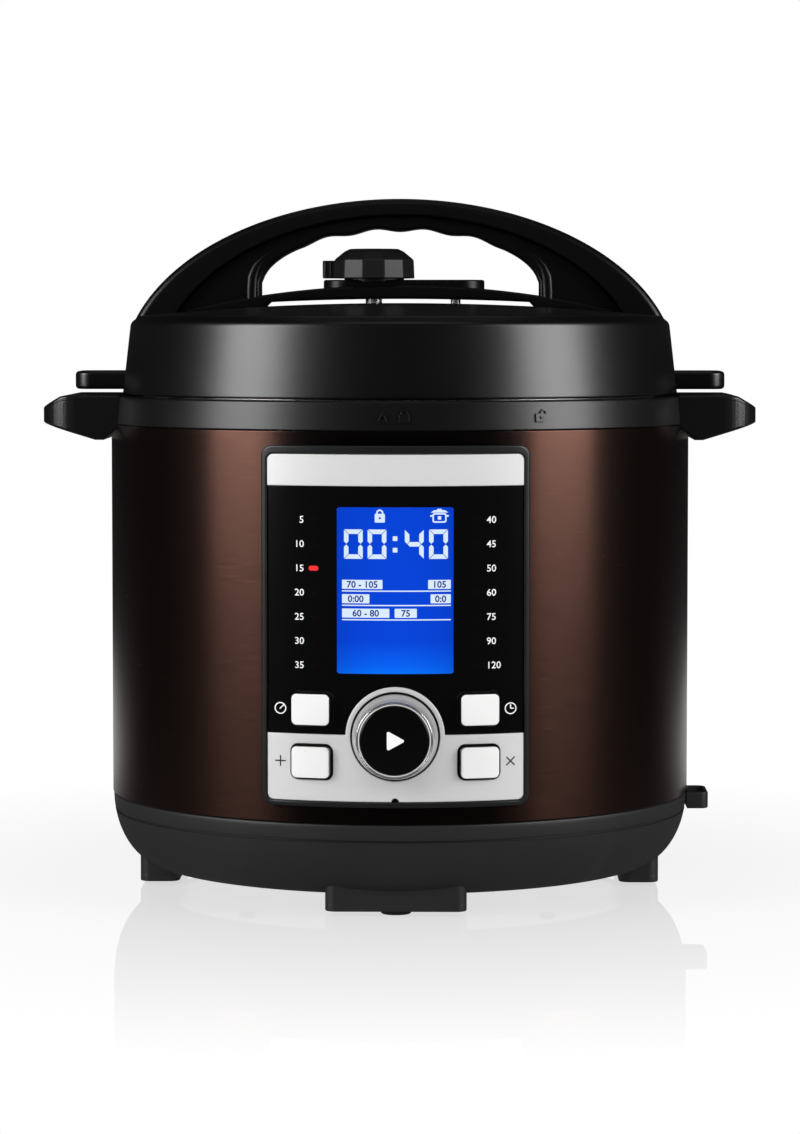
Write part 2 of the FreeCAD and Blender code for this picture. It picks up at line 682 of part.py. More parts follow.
def make_panel():
    skin = bodyRadius + seam
    bezel = band(panelWidth, panelBottom, panelTop, panelCorner, skin, bodyRadius + bezelStand)
    corner = panelCorner - bezelWidth + 0.6
    bezel = bezel.cut(band(faceWidth, faceBottom, faceTop, corner, boardDepth, farOut))
    keep("panel_bezel", bezel)

    edge = faceWidth - 2 * seam
    outline = band(edge, faceBottom + seam, faceTop - seam, corner - 0.1, boardDepth, farOut)
    bump = dial_hole(knobPlate)
    keyHoles = [key_block(turn, height, keyWidth + 2 * bodyGap, keyHeight + 2 * bodyGap, keyCorner + bodyGap,
                          boardDepth, farOut) for _, _, turn, height in keyPlaces]
    screenHole = band(screenWidth + 2 * seam, screenBottom - seam, screenBottom + screenHeight + seam,
                      1.0, boardDepth, farOut)
    shaftHole = dial_hole(dialRadius - 6)

    lower = tube(skin, bodyRadius + trimStand, faceBottom, lowerTrimTop).common(outline)
    plinth = tube(skin, bodyRadius + trimStand, panelBottom, panelTop).common(bump)
    lower = lower.fuse(plinth).removeSplitter()
    lower = lower.cut(shaftHole)
    fascia = tube(skin, bodyRadius + fasciaStand, lowerTrimTop + seam, faceTop - topBandHeight - seam)
    fascia = fascia.common(outline).cut(dial_hole(knobPlate + seam)).cut(screenHole)
    top = tube(skin, bodyRadius + trimStand, faceTop - topBandHeight, faceTop).common(outline)
    carrier = band(panelWidth - 2 * windowEdge - 0.5, panelBottom + windowEdge + 0.25,
                   panelTop - windowEdge - 0.25, 3.6, bodyRadius - 3, bodyRadius)
    carrier = carrier.fuse(band(panelWidth, panelBottom + 0.5, panelTop - 0.5, 3,
                                bodyRadius - 3.5, bodyRadius - housingWall - seam)).removeSplitter()
    carrier = carrier.cut(screenHole).cut(shaftHole)
    for hole in keyHoles:
        lower = lower.cut(hole)
        fascia = fascia.cut(hole)
        carrier = carrier.cut(hole)
    keep("lower_trim", lower)
    keep("fascia", fascia)
    keep("top_band", top)

    screen = band(screenWidth, screenBottom, screenBottom + screenHeight, 0.9, bodyRadius - 2.5,
                  bodyRadius + fasciaStand - 0.05)
    keep("screen", screen)
    unit = box(-screenWidth / 2 - 3, screenWidth / 2 + 3, -boardDepth - 9, -boardDepth,
               screenBottom - 2, screenBottom + screenHeight + 2)
    keep("screen_unit", unit)

    pipes = []
    half = lightWidth / 2
    front = math.sqrt((bodyRadius - 0.3) ** 2 - (lightSide + half) ** 2)
    for side in (-1, 1):
        for row in range(lightCount):
            x, z = side * lightSide, lightTop - lightStep * row
            pipes.append(box(x - half, x + half, -front, -boardDepth, z - 1, z + 1))
            carrier = carrier.cut(box(x - half - seam, x + half + seam, -bodyRadius, -boardDepth,
                                      z - 1 - seam, z + 1 + seam))
    keep("mode_lights", Part.makeCompound(pipes))
    keep("panel_carrier", carrier)


def make_keys():
    switches = []
    for row, side, turn, height in keyPlaces:
        cap = key_block(turn, height, keyWidth, keyHeight, keyCorner, bodyRadius - 5, bodyRadius + keyStand)
        crown = bodyRadius + keyStand - 0.4
        cap = softened(cap, 1.2, lambda e: all(math.hypot(v.X, v.Y) > crown - 0.1 for v in e.Vertexes)
                       and abs(e.CenterOfMass.z - height) < keyHeight)
        flange = key_block(turn, height, keyWidth + 2 * keyFlange + 1, keyHeight + 2 * keyFlange + 1,
                           keyCorner, bodyRadius - 7, bodyRadius - 5)
        keep("key_%s_%s" % (row, side), fused([cap, flange]))
        x = math.sin(math.radians(turn)) * (bodyRadius - 8)
        back = (bodyRadius - 7 - keyTravel - 1.0) * math.cos(math.radians(turn)) - 1.6
        switches.append(box(x - 3, x + 3, -back, -boardDepth, height - 3, height + 3))
    keep("key_switches", Part.makeCompound(switches))


def make_dial():
    base = bodyRadius + trimStand + 0.5
    front = bodyRadius + dialStand
    corners = [(dialInner, -base, 0), (dialRadius, -base, 0.4), (dialRadius - dialTaper, -front, 0.8),
               (dialInner, -front, 0.3)]
    face = corners_face(corners, lambda u, v: V(u, v, dialHeight))
    ring = face.revolve(V(0, 0, dialHeight), V(0, 1, 0), 360)
    spine = Part.makeCylinder(dialInner + 0.5, 3, V(0, -base - 3, dialHeight), V(0, 1, 0))
    sleeve = Part.makeCylinder(9, base + 1 - boardDepth - encoderDepth - bodyGap,
                               V(0, -base - 1, dialHeight), V(0, 1, 0))
    bore = Part.makeCylinder(stemRadius + bodyGap, 60, V(0, -base - 20, dialHeight), V(0, 1, 0))
    keep("dial_ring", fused([ring, spine, sleeve]).cut(bore))

    radius = dialInner - bodyGap
    low = front - 4.5
    corners = [(0, -low, 0), (radius, -low, 0), (radius, -front - 0.2, 0.9), (0, -front - 0.6, 0)]
    cap = corners_face(corners, lambda u, v: V(u, v, dialHeight))
    cap = cap.revolve(V(0, 0, dialHeight), V(0, 1, 0), 360)
    end = boardDepth + encoderDepth + 1.0
    stem = Part.makeCylinder(stemRadius, low - end, V(0, -low, dialHeight), V(0, 1, 0))
    keep("start_cap", fused([cap, stem]))
    body = plate(26, 26, 2, -boardDepth - encoderDepth, -boardDepth, 0, dialHeight)
    well = Part.makeCylinder(stemRadius + 1, capTravel, V(0, -boardDepth - encoderDepth - 0.5,
                                                          dialHeight), V(0, 1, 0))
    keep("dial_encoder", body.cut(well))


def make_board():
    board = plate(boardWidth, panelHeight - 14, 2, -boardDepth, -boardDepth + boardSheet, 0, panelMiddle - 3)
    keep("control_board", board)
    posts = []
    radius = 2.5
    for x in (4 - boardWidth / 2, boardWidth / 2 - 4):
        for z in (panelBottom + 7.5, panelTop - 16):
            y = math.sqrt((bodyRadius - 3.5 - seam) ** 2 - (abs(x) + radius) ** 2)
            posts.append(Part.makeCylinder(radius, y - boardDepth, V(x, -y, z), V(0, 1, 0)))
    keep("board_posts", Part.makeCompound(posts))


# ---------------------------------------------------------------- lid

domeFoot = collarTop - 30.0


def dome(drop):
    """Everything under the lid's crown, lowered by drop."""
    edge = V(domeRadius, 0, domeEdge - drop)
    crown = V(0, 0, domeCrown - drop)
    middle = V(domeRadius / 2, 0, domeCrown - (domeCrown - domeEdge) * 0.25 - drop)
    low, foot = V(domeRadius, 0, domeFoot), V(0, 0, domeFoot)
    edges = [Part.Arc(crown, middle, edge).toShape(), Part.LineSegment(edge, low).toShape(),
             Part.LineSegment(low, foot).toShape(), Part.LineSegment(foot, crown).toShape()]
    return Part.Face(Part.Wire(edges)).revolve(V(0, 0, 0), V(0, 0, 1), 360)


pipeSpots = [(valvePlace, pipeRadius), (floatPlace, floatRadius)]


def skirt_shape(inset, low):
    return turned([(0, low, 0), (skirtLow - inset, low, 0 if inset else 1.0),
                   (skirtHigh - inset, lidShoulder - inset, 4), (domeRadius - inset / 2, domeEdge - inset, 0),
                   (0, domeEdge - inset, 0)])


def lid_body(inset, low):
    """The lid's outer form as a solid, inset or grown."""
    crown = dome(inset).cut(disc(bodyRadius, domeFoot - 10, lidLow + 5))
    return fused([skirt_shape(inset, low), crown])


def make_lid_fins():
    low, high = finBottom, finBottom + finHeight
    start = skirtHigh - 3
    fin = flat_plate(2 * (finReach - start), finWidth, finCorner, low, high, start, 0)
    fin = softened(fin, 2.0, lambda e: abs(e.tangentAt(e.FirstParameter).z) < 0.1)
    fin = fin.cut(lid_body(-seam, lidLow)).cut(box(-farOut, 0, -farOut, farOut, farBelow, farAbove))
    keep("lid_fins", Part.makeCompound([fin, around(fin, 180)]))


def make_lid_cover():
    shell = lid_body(0, lidLow).cut(lid_body(lidWall, lidLow - 1))
    bosses = []
    for place in range(4):
        angle = math.radians(45 + 90 * place)
        x, y = bossCircle * math.cos(angle), bossCircle * math.sin(angle)
        boss = disc(bossRadius, lidPlateHeight + lidSheet, domeCrown, x, y)
        boss = boss.common(dome(1))
        bosses.append(boss.cut(disc(screwRadius, lidPlateHeight, lidPlateHeight + 8, x, y)))
    whole = fused([shell] + bosses)
    for x, radius in pipeSpots:
        whole = whole.cut(through(radius + bodyGap, x))
    keep("lid_cover", whole)


def make_lid_plate():
    wall, sheet = lidWallRadius, lidSheet
    high = lidPlateHeight + sheet
    shell = turned([(0, lidPlateHeight, 0), (wall, lidPlateHeight, 4), (wall, lidLugTop - sheet - 0.3, 0),
                    (wall + sheet, lidLugTop - sheet - 0.3, 0), (wall + sheet, high, 5), (0, high, 0)])
    lugs = []
    for place in range(lugCount):
        lugs.append(wedge(wall + sheet - 0.4, wall + sheet + lidLugReach, lidLugTop - sheet - 0.3, lidLugTop,
                          -90 + lugPitch * place, lidLugAngle))
    whole = fused([shell] + lugs)
    whole = whole.cut(through(pipeRadius + seam, valvePlace))
    whole = whole.cut(through(floatRadius + bodyGap, floatPlace))
    screws = []
    for place in range(4):
        angle = math.radians(45 + 90 * place)
        x, y = bossCircle * math.cos(angle), bossCircle * math.sin(angle)
        whole = whole.cut(through(screwRadius + 0.2, x, y))
        head = disc(screwHeadRadius, lidPlateHeight - 2.0, lidPlateHeight - seam, x, y)
        shank = disc(screwRadius - seam, lidPlateHeight - 1, lidPlateHeight + 7.5, x, y)
        screws.append(fused([head, shank]))
    keep("lid_plate", whole)
    keep("lid_screws", Part.makeCompound(screws))


sealBottom = potTop + bodyGap
sealTop = sealBottom + sealHeight


def make_seal():
    wall = sealWall
    ring = turned([(sealInner, sealBottom, 0.8), (sealOuter, sealBottom, 0.8), (sealOuter, sealTop, 0.8),
                   (sealOuter - wall, sealTop, 0.8), (sealOuter - wall, sealBottom + wall, 0.8),
                   (sealInner + wall, sealBottom + wall, 0.8), (sealInner + wall, sealTop, 0.8),
                   (sealInner, sealTop, 0.8)])
    keep("sealing_ring", ring)
    inner = sealInner - bodyGap
    rack = turned([(inner - 1.4, sealBottom + 1.0, 0), (inner, sealBottom + 1.0, 0),
                   (inner, sealTop + bodyGap, 0), (sealOuter, sealTop + bodyGap, 0),
                   (sealOuter, sealTop + bodyGap + 1.4, 0), (inner - 1.4, sealTop + bodyGap + 1.4, 0)])
    rods = []
    for place in range(6):
        rod = disc(2, sealTop + bodyGap + 1.0, lidPlateHeight, (sealInner + sealOuter) / 2 - 4)
        rods.append(around(rod, 60 * place + 30))
    keep("seal_rack", fused([rack] + rods))


def arch_face(half, rise, floor, y):
    """The area under a half ellipse that stands on floor."""
    if half > rise:
        curve = Part.Ellipse(V(half, y, floor), V(0, y, floor + rise), V(0, y, floor))
        span = Part.Arc(curve, 0, math.pi).toShape()
    else:
        curve = Part.Ellipse(V(0, y, floor + rise), V(half, y, floor), V(0, y, floor))
        span = Part.Arc(curve, -math.pi / 2, math.pi / 2).toShape()
    ends = [v.Point for v in span.Vertexes]
    return Part.Face(Part.Wire([span, Part.LineSegment(ends[1], ends[0]).toShape()]))


def arch_body(half, rise, floor, depth):
    return arch_face(half, rise, floor, -depth / 2).extrude(V(0, depth, 0))


def make_handle():
    innerHalf = archHalfSpan - bandFootThickness
    innerRise = archHeight - bandThickness
    lid = lid_body(-seam, lidLow)
    arch = arch_body(archHalfSpan, archHeight, archCentreHeight, bandDepth)
    arch = softened(arch, 4.0, lambda e: abs(e.CenterOfMass.y) > bandDepth / 2 - 0.1
                    and e.BoundBox.ZLength > 20)
    arch = arch.cut(arch_body(innerHalf, innerRise, archCentreHeight, bandDepth + 2)).cut(lid)
    arch = arch.cut(box(-farOut, farOut, -bandDepth, bandDepth, farBelow, lidShoulder - 4))
    keep("handle_arch", arch)

    web = arch_body(innerHalf - seam, innerRise - seam, archCentreHeight, webDepth).cut(lid)
    opening = arch_body(windowHalfWidth, windowRise, windowFloor, webDepth + 4)
    opening = opening.fuse(box(-windowHalfWidth, windowHalfWidth, -webDepth, webDepth,
                               lidShoulder, windowFloor))
    cuts = []
    reach = (groovePitch / 2) ** 2 / (2 * grooveDepth) + grooveDepth / 2
    for place in range(grooveCount):
        x = groovePitch * (place - (grooveCount - 1) / 2)
        rise = windowRise * math.sqrt(1 - (x / windowHalfWidth) ** 2)
        top = windowFloor + rise + grooveDepth
        groove = Part.makeCylinder(reach, webDepth + 4, V(x, -webDepth / 2 - 2, top - reach), V(0, 1, 0))
        cuts.append(groove.common(box(-windowHalfWidth, windowHalfWidth, -webDepth, webDepth,
                                      windowFloor + 12, farAbove)))
    web = web.cut(opening)
    for groove in cuts:
        web = web.cut(groove)
    under = dome(-slitHeight)
    ends, foot, side = windowHalfWidth + 3, lidShoulder - 11, bridgeTop - bridgeSag
    bar = [V(-ends, 0, foot), V(ends, 0, foot), V(ends, 0, side), V(0, 0, bridgeTop), V(-ends, 0, side)]
    wires = [Part.LineSegment(bar[0], bar[1]).toShape(), Part.LineSegment(bar[1], bar[2]).toShape(),
             Part.Arc(bar[2], bar[3], bar[4]).toShape(), Part.LineSegment(bar[4], bar[0]).toShape()]
    bridge = Part.Face(Part.Wire(wires)).extrude(V(0, webDepth, 0))
    bridge.translate(V(0, -webDepth / 2, 0))
    bridge = bridge.cut(under)
    web = fused([web, bridge])
    web = web.cut(through(pipeRadius + seam, valvePlace))
    web = web.cut(through(floatRadius + bodyGap, floatPlace))
    keep("handle_inner", web)

    deck = flat_plate(deckWidth, deckDepth, deckCorner, bridgeTop - deckUnder, deckTop, deckCentre, 0)
    deck = softened(deck, 1.2, lambda e: e.BoundBox.ZMin > deckTop - 0.1)
    deck = deck.cut(bridge)
    deck = deck.cut(through(pipeRadius + seam, valvePlace))
    deck = deck.cut(through(floatRadius + bodyGap, floatPlace))
    deck = deck.cut(disc(floatHeadRadius + bodyGap, deckTop - 2.4, farAbove, floatPlace))
    keep("valve_deck", deck)


def make_valves():
    top = deckTop + pipeStand
    pipe = disc(pipeRadius, lidPlateHeight - 6, top, valvePlace)
    nut = Part.Face(Part.makePolygon([V(valvePlace + 8 * math.cos(math.radians(60 * i)),
                                        8 * math.sin(math.radians(60 * i)), lidPlateHeight - 4.5)
                                      for i in range(7)])).extrude(V(0, 0, 4.5 - seam))
    keep("steam_pipe", fused([pipe, nut]).cut(through(pipeBore, valvePlace)))

    low = deckTop + 0.5
    weight = disc(weightRadius, low, low + weightHeight, valvePlace)
    weight = weight.cut(disc(pipeRadius + bodyGap, low - 1, top + bodyGap, valvePlace))
    keep("valve_weight", weight)

    neckLow = deckTop + 0.5
    knobLow = deckTop + 1.6
    rings = []
    for radius, height in ((knobHalfWidth, knobLow), (knobHalfWidth, knobLow + knobSide),
                           (knobTopRadius, knobLow + knobHeight)):
        spots = []
        for i in range(knobFacets + 1):
            angle = 2 * math.pi * (i + 0.5) / knobFacets
            out = radius / math.cos(math.pi / knobFacets)
            spots.append(V(valvePlace + out * math.cos(angle), out * math.sin(angle), height))
        rings.append(Part.makePolygon(spots))
    side = Part.makeLoft(rings[:2], True, True)
    crown = Part.makeLoft(rings[1:], True, True)
    neck = disc(knobNeckRadius, neckLow, knobLow + 1, valvePlace)
    left = valvePlace - knobHalfWidth
    tab = box(left - knobTab, left + 4, -knobTabWidth / 2, knobTabWidth / 2, knobLow + 0.2,
              knobLow + 0.2 + knobTabHeight)
    tab = softened(tab, 1.2, lambda e: e.BoundBox.XMax < left - knobTab + 0.1)
    knob = fused([side, crown, neck, tab])
    knob = knob.cut(disc(weightRadius + runningFit, neckLow - 1, low + weightHeight + bodyGap, valvePlace))
    keep("valve_knob", knob)

    nutLow = lidPlateHeight - 4.5
    high = nutLow - bodyGap
    cap = disc(shieldRadius, high - shieldHeight, lidPlateHeight - bodyGap, valvePlace)
    cap = softened(cap, 2.0, lambda e: e.BoundBox.ZMax < high - shieldHeight + 0.1)
    cap = cap.cut(disc(shieldRadius - shieldWall - 1.5, high - shieldHeight + shieldWall, farAbove,
                       valvePlace))
    for i in range(8):
        slot = box(0, shieldRadius + 2, -1.2, 1.2, high - shieldHeight + 2.6, high - 2)
        slot.rotate(V(0, 0, 0), V(0, 0, 1), 45 * i)
        slot.translate(V(valvePlace, 0, 0))
        cap = cap.cut(slot)
    keep("anti_block_shield", cap)

    headTop = deckTop
    pin = disc(floatRadius, lidPlateHeight - floatTravel - 3.4, headTop - 0.5, floatPlace)
    head = disc(floatHeadRadius, headTop - 2.0, headTop, floatPlace)
    head = softened(head, 0.5, lambda e: e.BoundBox.ZMin > headTop - 0.1)
    keep("float_pin", fused([pin, head]))
    capTop = lidPlateHeight - floatTravel - bodyGap
    seal = disc(floatCapRadius, capTop - 3.0, capTop, floatPlace)
    seal = softened(seal, 0.8, lambda e: e.Length > 20)
    keep("float_seal", seal.cut(through(floatRadius + seam / 2, floatPlace)))


def make_pot():
    pot = turned([(0, potFloor, 0), (potOuter, potFloor, potCorner), (potOuter, potTop - potWall - 0.4, 0.8),
                  (potOuter + potRimReach, potTop - potWall - 0.4, 0), (potOuter + potRimReach, potTop, 0.7),
                  (potRadius, potTop, 1.2), (potRadius, potFloor + potWall, potCorner - potWall),
                  (0, potFloor + potWall, 0)])
    keep("inner_pot", pot)


for make in (make_base, make_feet, make_bottom, make_spoon_holder, make_housing, make_collar,
             make_side_handles, make_liner, make_heater, make_sensor, make_liner_support, make_power,
             make_inlet, make_cup, make_panel, make_keys, make_dial, make_board, make_lid_cover,
             make_lid_fins, make_lid_plate, make_seal, make_handle, make_valves, make_pot):
    make()

os.makedirs("parts", exist_ok=True)
for name, shape in parts.items():
    shape.exportStep("parts/%s.step" % name)
    print(name, len(shape.Solids), "solids", round(shape.Volume), "mm3", shape.isValid())
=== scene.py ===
from math import asin, atan2, cos, degrees, pi, radians, sin, sqrt, tan

import bmesh
import bpy
from mathutils import Matrix, Vector


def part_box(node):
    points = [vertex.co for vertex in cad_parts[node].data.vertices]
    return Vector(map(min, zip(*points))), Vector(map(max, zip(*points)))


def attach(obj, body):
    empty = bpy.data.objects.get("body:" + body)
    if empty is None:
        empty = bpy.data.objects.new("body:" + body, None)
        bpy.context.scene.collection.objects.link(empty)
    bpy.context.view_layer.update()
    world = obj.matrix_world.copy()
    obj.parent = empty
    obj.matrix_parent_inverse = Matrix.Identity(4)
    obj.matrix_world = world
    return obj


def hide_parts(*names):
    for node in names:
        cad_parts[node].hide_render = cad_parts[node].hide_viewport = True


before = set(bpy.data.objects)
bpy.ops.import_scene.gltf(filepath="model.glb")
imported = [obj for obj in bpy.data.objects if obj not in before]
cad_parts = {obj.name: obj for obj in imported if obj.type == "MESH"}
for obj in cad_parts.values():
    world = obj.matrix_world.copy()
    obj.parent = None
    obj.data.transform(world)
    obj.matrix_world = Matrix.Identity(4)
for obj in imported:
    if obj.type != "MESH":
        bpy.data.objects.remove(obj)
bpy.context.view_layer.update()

mm = 0.001  # shapes are drawn in millimetres and scaled when the mesh is made
scene = bpy.context.scene


def cad(node):  # a CAD node's box in millimetres
    low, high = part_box(node)
    return [value / mm for value in (*low, *high)]


bodyRadius = cad("outer_shell")[3]


# Shader writing.
class Signal:  # one socket; sums and products of signals add Math nodes
    def __init__(self, tree, socket=None):
        self.tree = tree
        self.socket = socket

    def node(self, kind, settings=None, inputs=None, output=0):
        made = self.tree.nodes.new("ShaderNode" + kind)
        for name, value in (settings or {}).items():
            if name == "stops":
                ramp = made.color_ramp.elements
                while len(ramp) < len(value):
                    ramp.new(0.5)
                for element, (place, colour) in zip(ramp, value):
                    element.position = place
                    element.color = (*colour, 1)
            else:
                setattr(made, name, value)
        for name, value in (inputs or {}).items():
            if isinstance(value, Signal):
                self.tree.links.new(value.socket, made.inputs[name])
            else:
                made.inputs[name].default_value = value
        return Signal(self.tree, made.outputs[output] if len(made.outputs) else None)

    def maths(self, operation, other=0.0):
        return self.node("Math", {"operation": operation}, {0: self, 1: other})

    def __add__(self, other):
        return self.maths("ADD", other)

    def __sub__(self, other):
        return self.maths("SUBTRACT", other)

    def __rsub__(self, other):
        return self.node("Math", {"operation": "SUBTRACT"}, {0: other, 1: self})

    def __mul__(self, other):
        return self.maths("MULTIPLY", other)

    def __truediv__(self, other):
        return self.maths("DIVIDE", other)

    __radd__ = __add__
    __rmul__ = __mul__

    def clamped(self):
        return self.node("Clamp", None, {"Value": self})

    def blend(self, low, high):  # low where the signal is 0, high where it is 1
        ends = [end if isinstance(end, Signal) else (*end, 1) for end in (low, high)]
        return self.node("Mix", {"data_type": "RGBA"}, {0: self, 6: ends[0], 7: ends[1]}, output=2)

    def axis(self, index):
        return self.node("SeparateXYZ", None, {0: self}, output=index)

    def scaled(self, sizes):
        return self.node("VectorMath", {"operation": "MULTIPLY"}, {0: self, 1: sizes})

    def noise(self, scale, detail=2.0, roughness=0.5):
        inputs = {"Vector": self, "Scale": scale, "Detail": detail, "Roughness": roughness}
        return self.node("TexNoise", None, inputs)

    def between(self, low, high):  # one shader where the signal is 0, another where it is 1
        return self.node("MixShader", None, {0: self, 1: low, 2: high})

    def ray(self, kind):
        return self.node("LightPath", output="Is " + kind + " Ray")

    def bump(self, strength, distance):
        return self.node("Bump", None, {"Height": self, "Strength": strength, "Distance": distance})


finishes = {}


def newFinish(name):  # an empty material and the place on the object, in metres
    material = bpy.data.materials.new(name)
    material.use_nodes = True
    material.node_tree.nodes.clear()
    finishes[name] = material
    start = Signal(material.node_tree)
    return start, start.node("TexCoord", output="Object")


def closeFinish(start, look, inputs):
    shared = {"Specular IOR Level": look["specular"], "Coat Weight": look["coat"],
              "Coat Roughness": look["coatRoughness"]}
    shader = start.node("BsdfPrincipled", None, {**shared, **inputs})
    start.node("OutputMaterial", None, {"Surface": shader})


mouldedUsual = {"fade": 1.25, "patchScale": 25.0, "patchRoughness": 0.05, "grainScale": 2600.0,
                "grainStrength": 0.35, "grainDepth": 0.00006, "grainRoughness": 0.08, "specular": 0.5,
                "coat": 0.0, "coatRoughness": 0.1}


def moulded(name, ownLook):  # satin plastic or rubber with a fine spark-eroded grain
    look = {**mouldedUsual, **ownLook}
    start, spot = newFinish(name)
    grain = spot.noise(look["grainScale"], 3.0, 0.6)
    patches = spot.noise(look["patchScale"], 2.0)
    colour = patches.blend(look["colour"], [value * look["fade"] for value in look["colour"]])
    roughness = look["roughness"] + (patches - 0.5) * look["patchRoughness"]
    roughness = roughness + (grain - 0.5) * look["grainRoughness"]
    closeFinish(start, look, {
        "Base Color": colour, "Roughness": roughness.clamped(),
        "Normal": grain.bump(look["grainStrength"], look["grainDepth"])})


handleGrain = {"fade": 1.2, "patchScale": 18.0, "grainScale": 3200.0, "grainDepth": 0.00004}
printGrain = {"patchScale": 200.0, "grainScale": 3000.0, "grainStrength": 0.05, "grainDepth": 0.00001}
plastics = {
    "lidPlastic": {"colour": (0.0008, 0.0008, 0.0009), "roughness": 0.31, "specular": 0.62},
    "collarPlastic": {"colour": (0.002, 0.002, 0.0021), "roughness": 0.33, "specular": 0.52},
    "basePlastic": {"colour": (0.013, 0.013, 0.0132), "roughness": 0.48, "grainScale": 2400.0,
                    "grainStrength": 0.4, "specular": 0.45},
    "handlePlastic": {**handleGrain, "colour": (0.0014, 0.0014, 0.0015), "roughness": 0.34,
                      "patchRoughness": 0.06, "grainStrength": 0.18, "specular": 0.3},
    "knobPlastic": {**handleGrain, "colour": (0.007, 0.007, 0.0071), "roughness": 0.4,
                    "grainStrength": 0.15, "specular": 0.35},
    "darkPlastic": {"colour": (0.008, 0.008, 0.0083), "fade": 1.3, "roughness": 0.55, "patchScale": 30.0,
                    "patchRoughness": 0.08, "grainScale": 1800.0, "grainStrength": 0.3, "specular": 0.4},
    "bezelPlastic": {"colour": (0.008, 0.0085, 0.009), "fade": 1.15, "roughness": 0.3, "patchScale": 30.0,
                     "grainScale": 3000.0, "grainStrength": 0.1, "grainDepth": 0.00003},
    "footRubber": {"colour": (0.012, 0.012, 0.012), "fade": 1.3, "roughness": 0.8, "patchScale": 40.0,
                   "patchRoughness": 0.1, "grainScale": 1500.0, "grainStrength": 0.4,
                   "grainDepth": 0.00008, "specular": 0.3},
    "sealSilicone": {"colour": (0.56, 0.57, 0.56), "fade": 0.94, "roughness": 0.42, "patchScale": 20.0,
                     "patchRoughness": 0.1, "grainScale": 900.0, "grainStrength": 0.12,
                     "grainDepth": 0.00004},
    "boardGreen": {"colour": (0.01, 0.09, 0.035), "fade": 0.8, "roughness": 0.35, "patchScale": 120.0,
                   "patchRoughness": 0.15, "grainScale": 700.0, "grainStrength": 0.2,
                   "grainDepth": 0.00005, "coat": 0.5},
    "keyPlastic": {"colour": (0.84, 0.84, 0.835), "fade": 0.97, "roughness": 0.36, "patchScale": 60.0,
                   "grainScale": 3000.0, "grainStrength": 0.08, "grainDepth": 0.00002},
    "whitePrint": {**printGrain, "colour": (0.88, 0.88, 0.88), "fade": 0.97, "roughness": 0.5},
    "darkPrint": {**printGrain, "colour": (0.01, 0.01, 0.01), "fade": 1.3, "roughness": 0.5},
    "bluePrint": {**printGrain, "colour": (0.001, 0.018, 0.2), "fade": 1.2, "roughness": 0.5,
                  "specular": 0.1},
    "unlitWindow": {"colour": (0.0035, 0.0012, 0.0012), "fade": 1.2, "roughness": 0.22, "patchScale": 90.0,
                    "patchRoughness": 0.04, "grainScale": 2000.0, "grainStrength": 0.05,
                    "grainDepth": 0.00001, "specular": 0.3},
}
for plasticName, plasticLook in plastics.items():
    moulded(plasticName, plasticLook)


def fall(value, near, far):  # 1 up to near, 0 from far on
    return ((far - value) / (far - near)).clamped()


brushedUsual = {"metallic": 1.0, "around": False, "clouds": 14.0, "cloudShare": 0.25, "anisotropic": 0.0,
                "turned": 0.0, "specular": 0.5, "coat": 0.0, "coatRoughness": 0.2, "shaded": None,
                "frontReach": (-0.1, 0.0)}


def brushed(name, ownLook):  # metal with fine lines along the direction it was brushed in
    look = {**brushedUsual, **ownLook}
    start, place = newFinish(name)
    if look["around"]:  # lines run round the pot's axis, on walls and on floors
        across, back = place.axis(0), place.axis(1)
        turn = back.maths("ARCTAN2", across) * look["lineLength"]
        rise = place.axis(2) + (across * across + back * back).maths("SQRT")
        spot = start.node("CombineXYZ", None, {0: turn, 1: 0.0, 2: rise * look["lineDensity"]})
    else:
        spot = place.scaled((look["lineLength"], look["lineDensity"], look["lineDensity"]))
    lines = spot.noise(1.0, 4.0, 0.65)
    clouds = place.noise(look["clouds"], 2.0)
    mask = (lines * (1 - look["cloudShare"]) + clouds * look["cloudShare"]).clamped()
    low = [value * (1 - look["contrast"]) for value in look["colour"]]
    high = [min(1.0, value * (1 + look["contrast"])) for value in look["colour"]]
    colour = mask.blend(low, high)
    if look["shaded"]:  # painted reflection: the colour is darker above and below the panel, as if the panel stood in the steel's reflection
        near, far, paintedReflectionColour = look["shaded"]
        beside = fall(place.axis(0).maths("ABSOLUTE"), near, far)
        inFront = fall(place.axis(1), *look["frontReach"])
        colour = (beside * inFront).blend(colour, paintedReflectionColour)
    closeFinish(start, look, {
        "Base Color": colour, "Metallic": look["metallic"],
        "Roughness": (look["roughness"] + (lines - 0.5) * look["lineRoughness"]).clamped(),
        "Normal": lines.bump(look["lineStrength"], look["lineDepth"]),
        "Anisotropic": look["anisotropic"], "Anisotropic Rotation": look["turned"]})


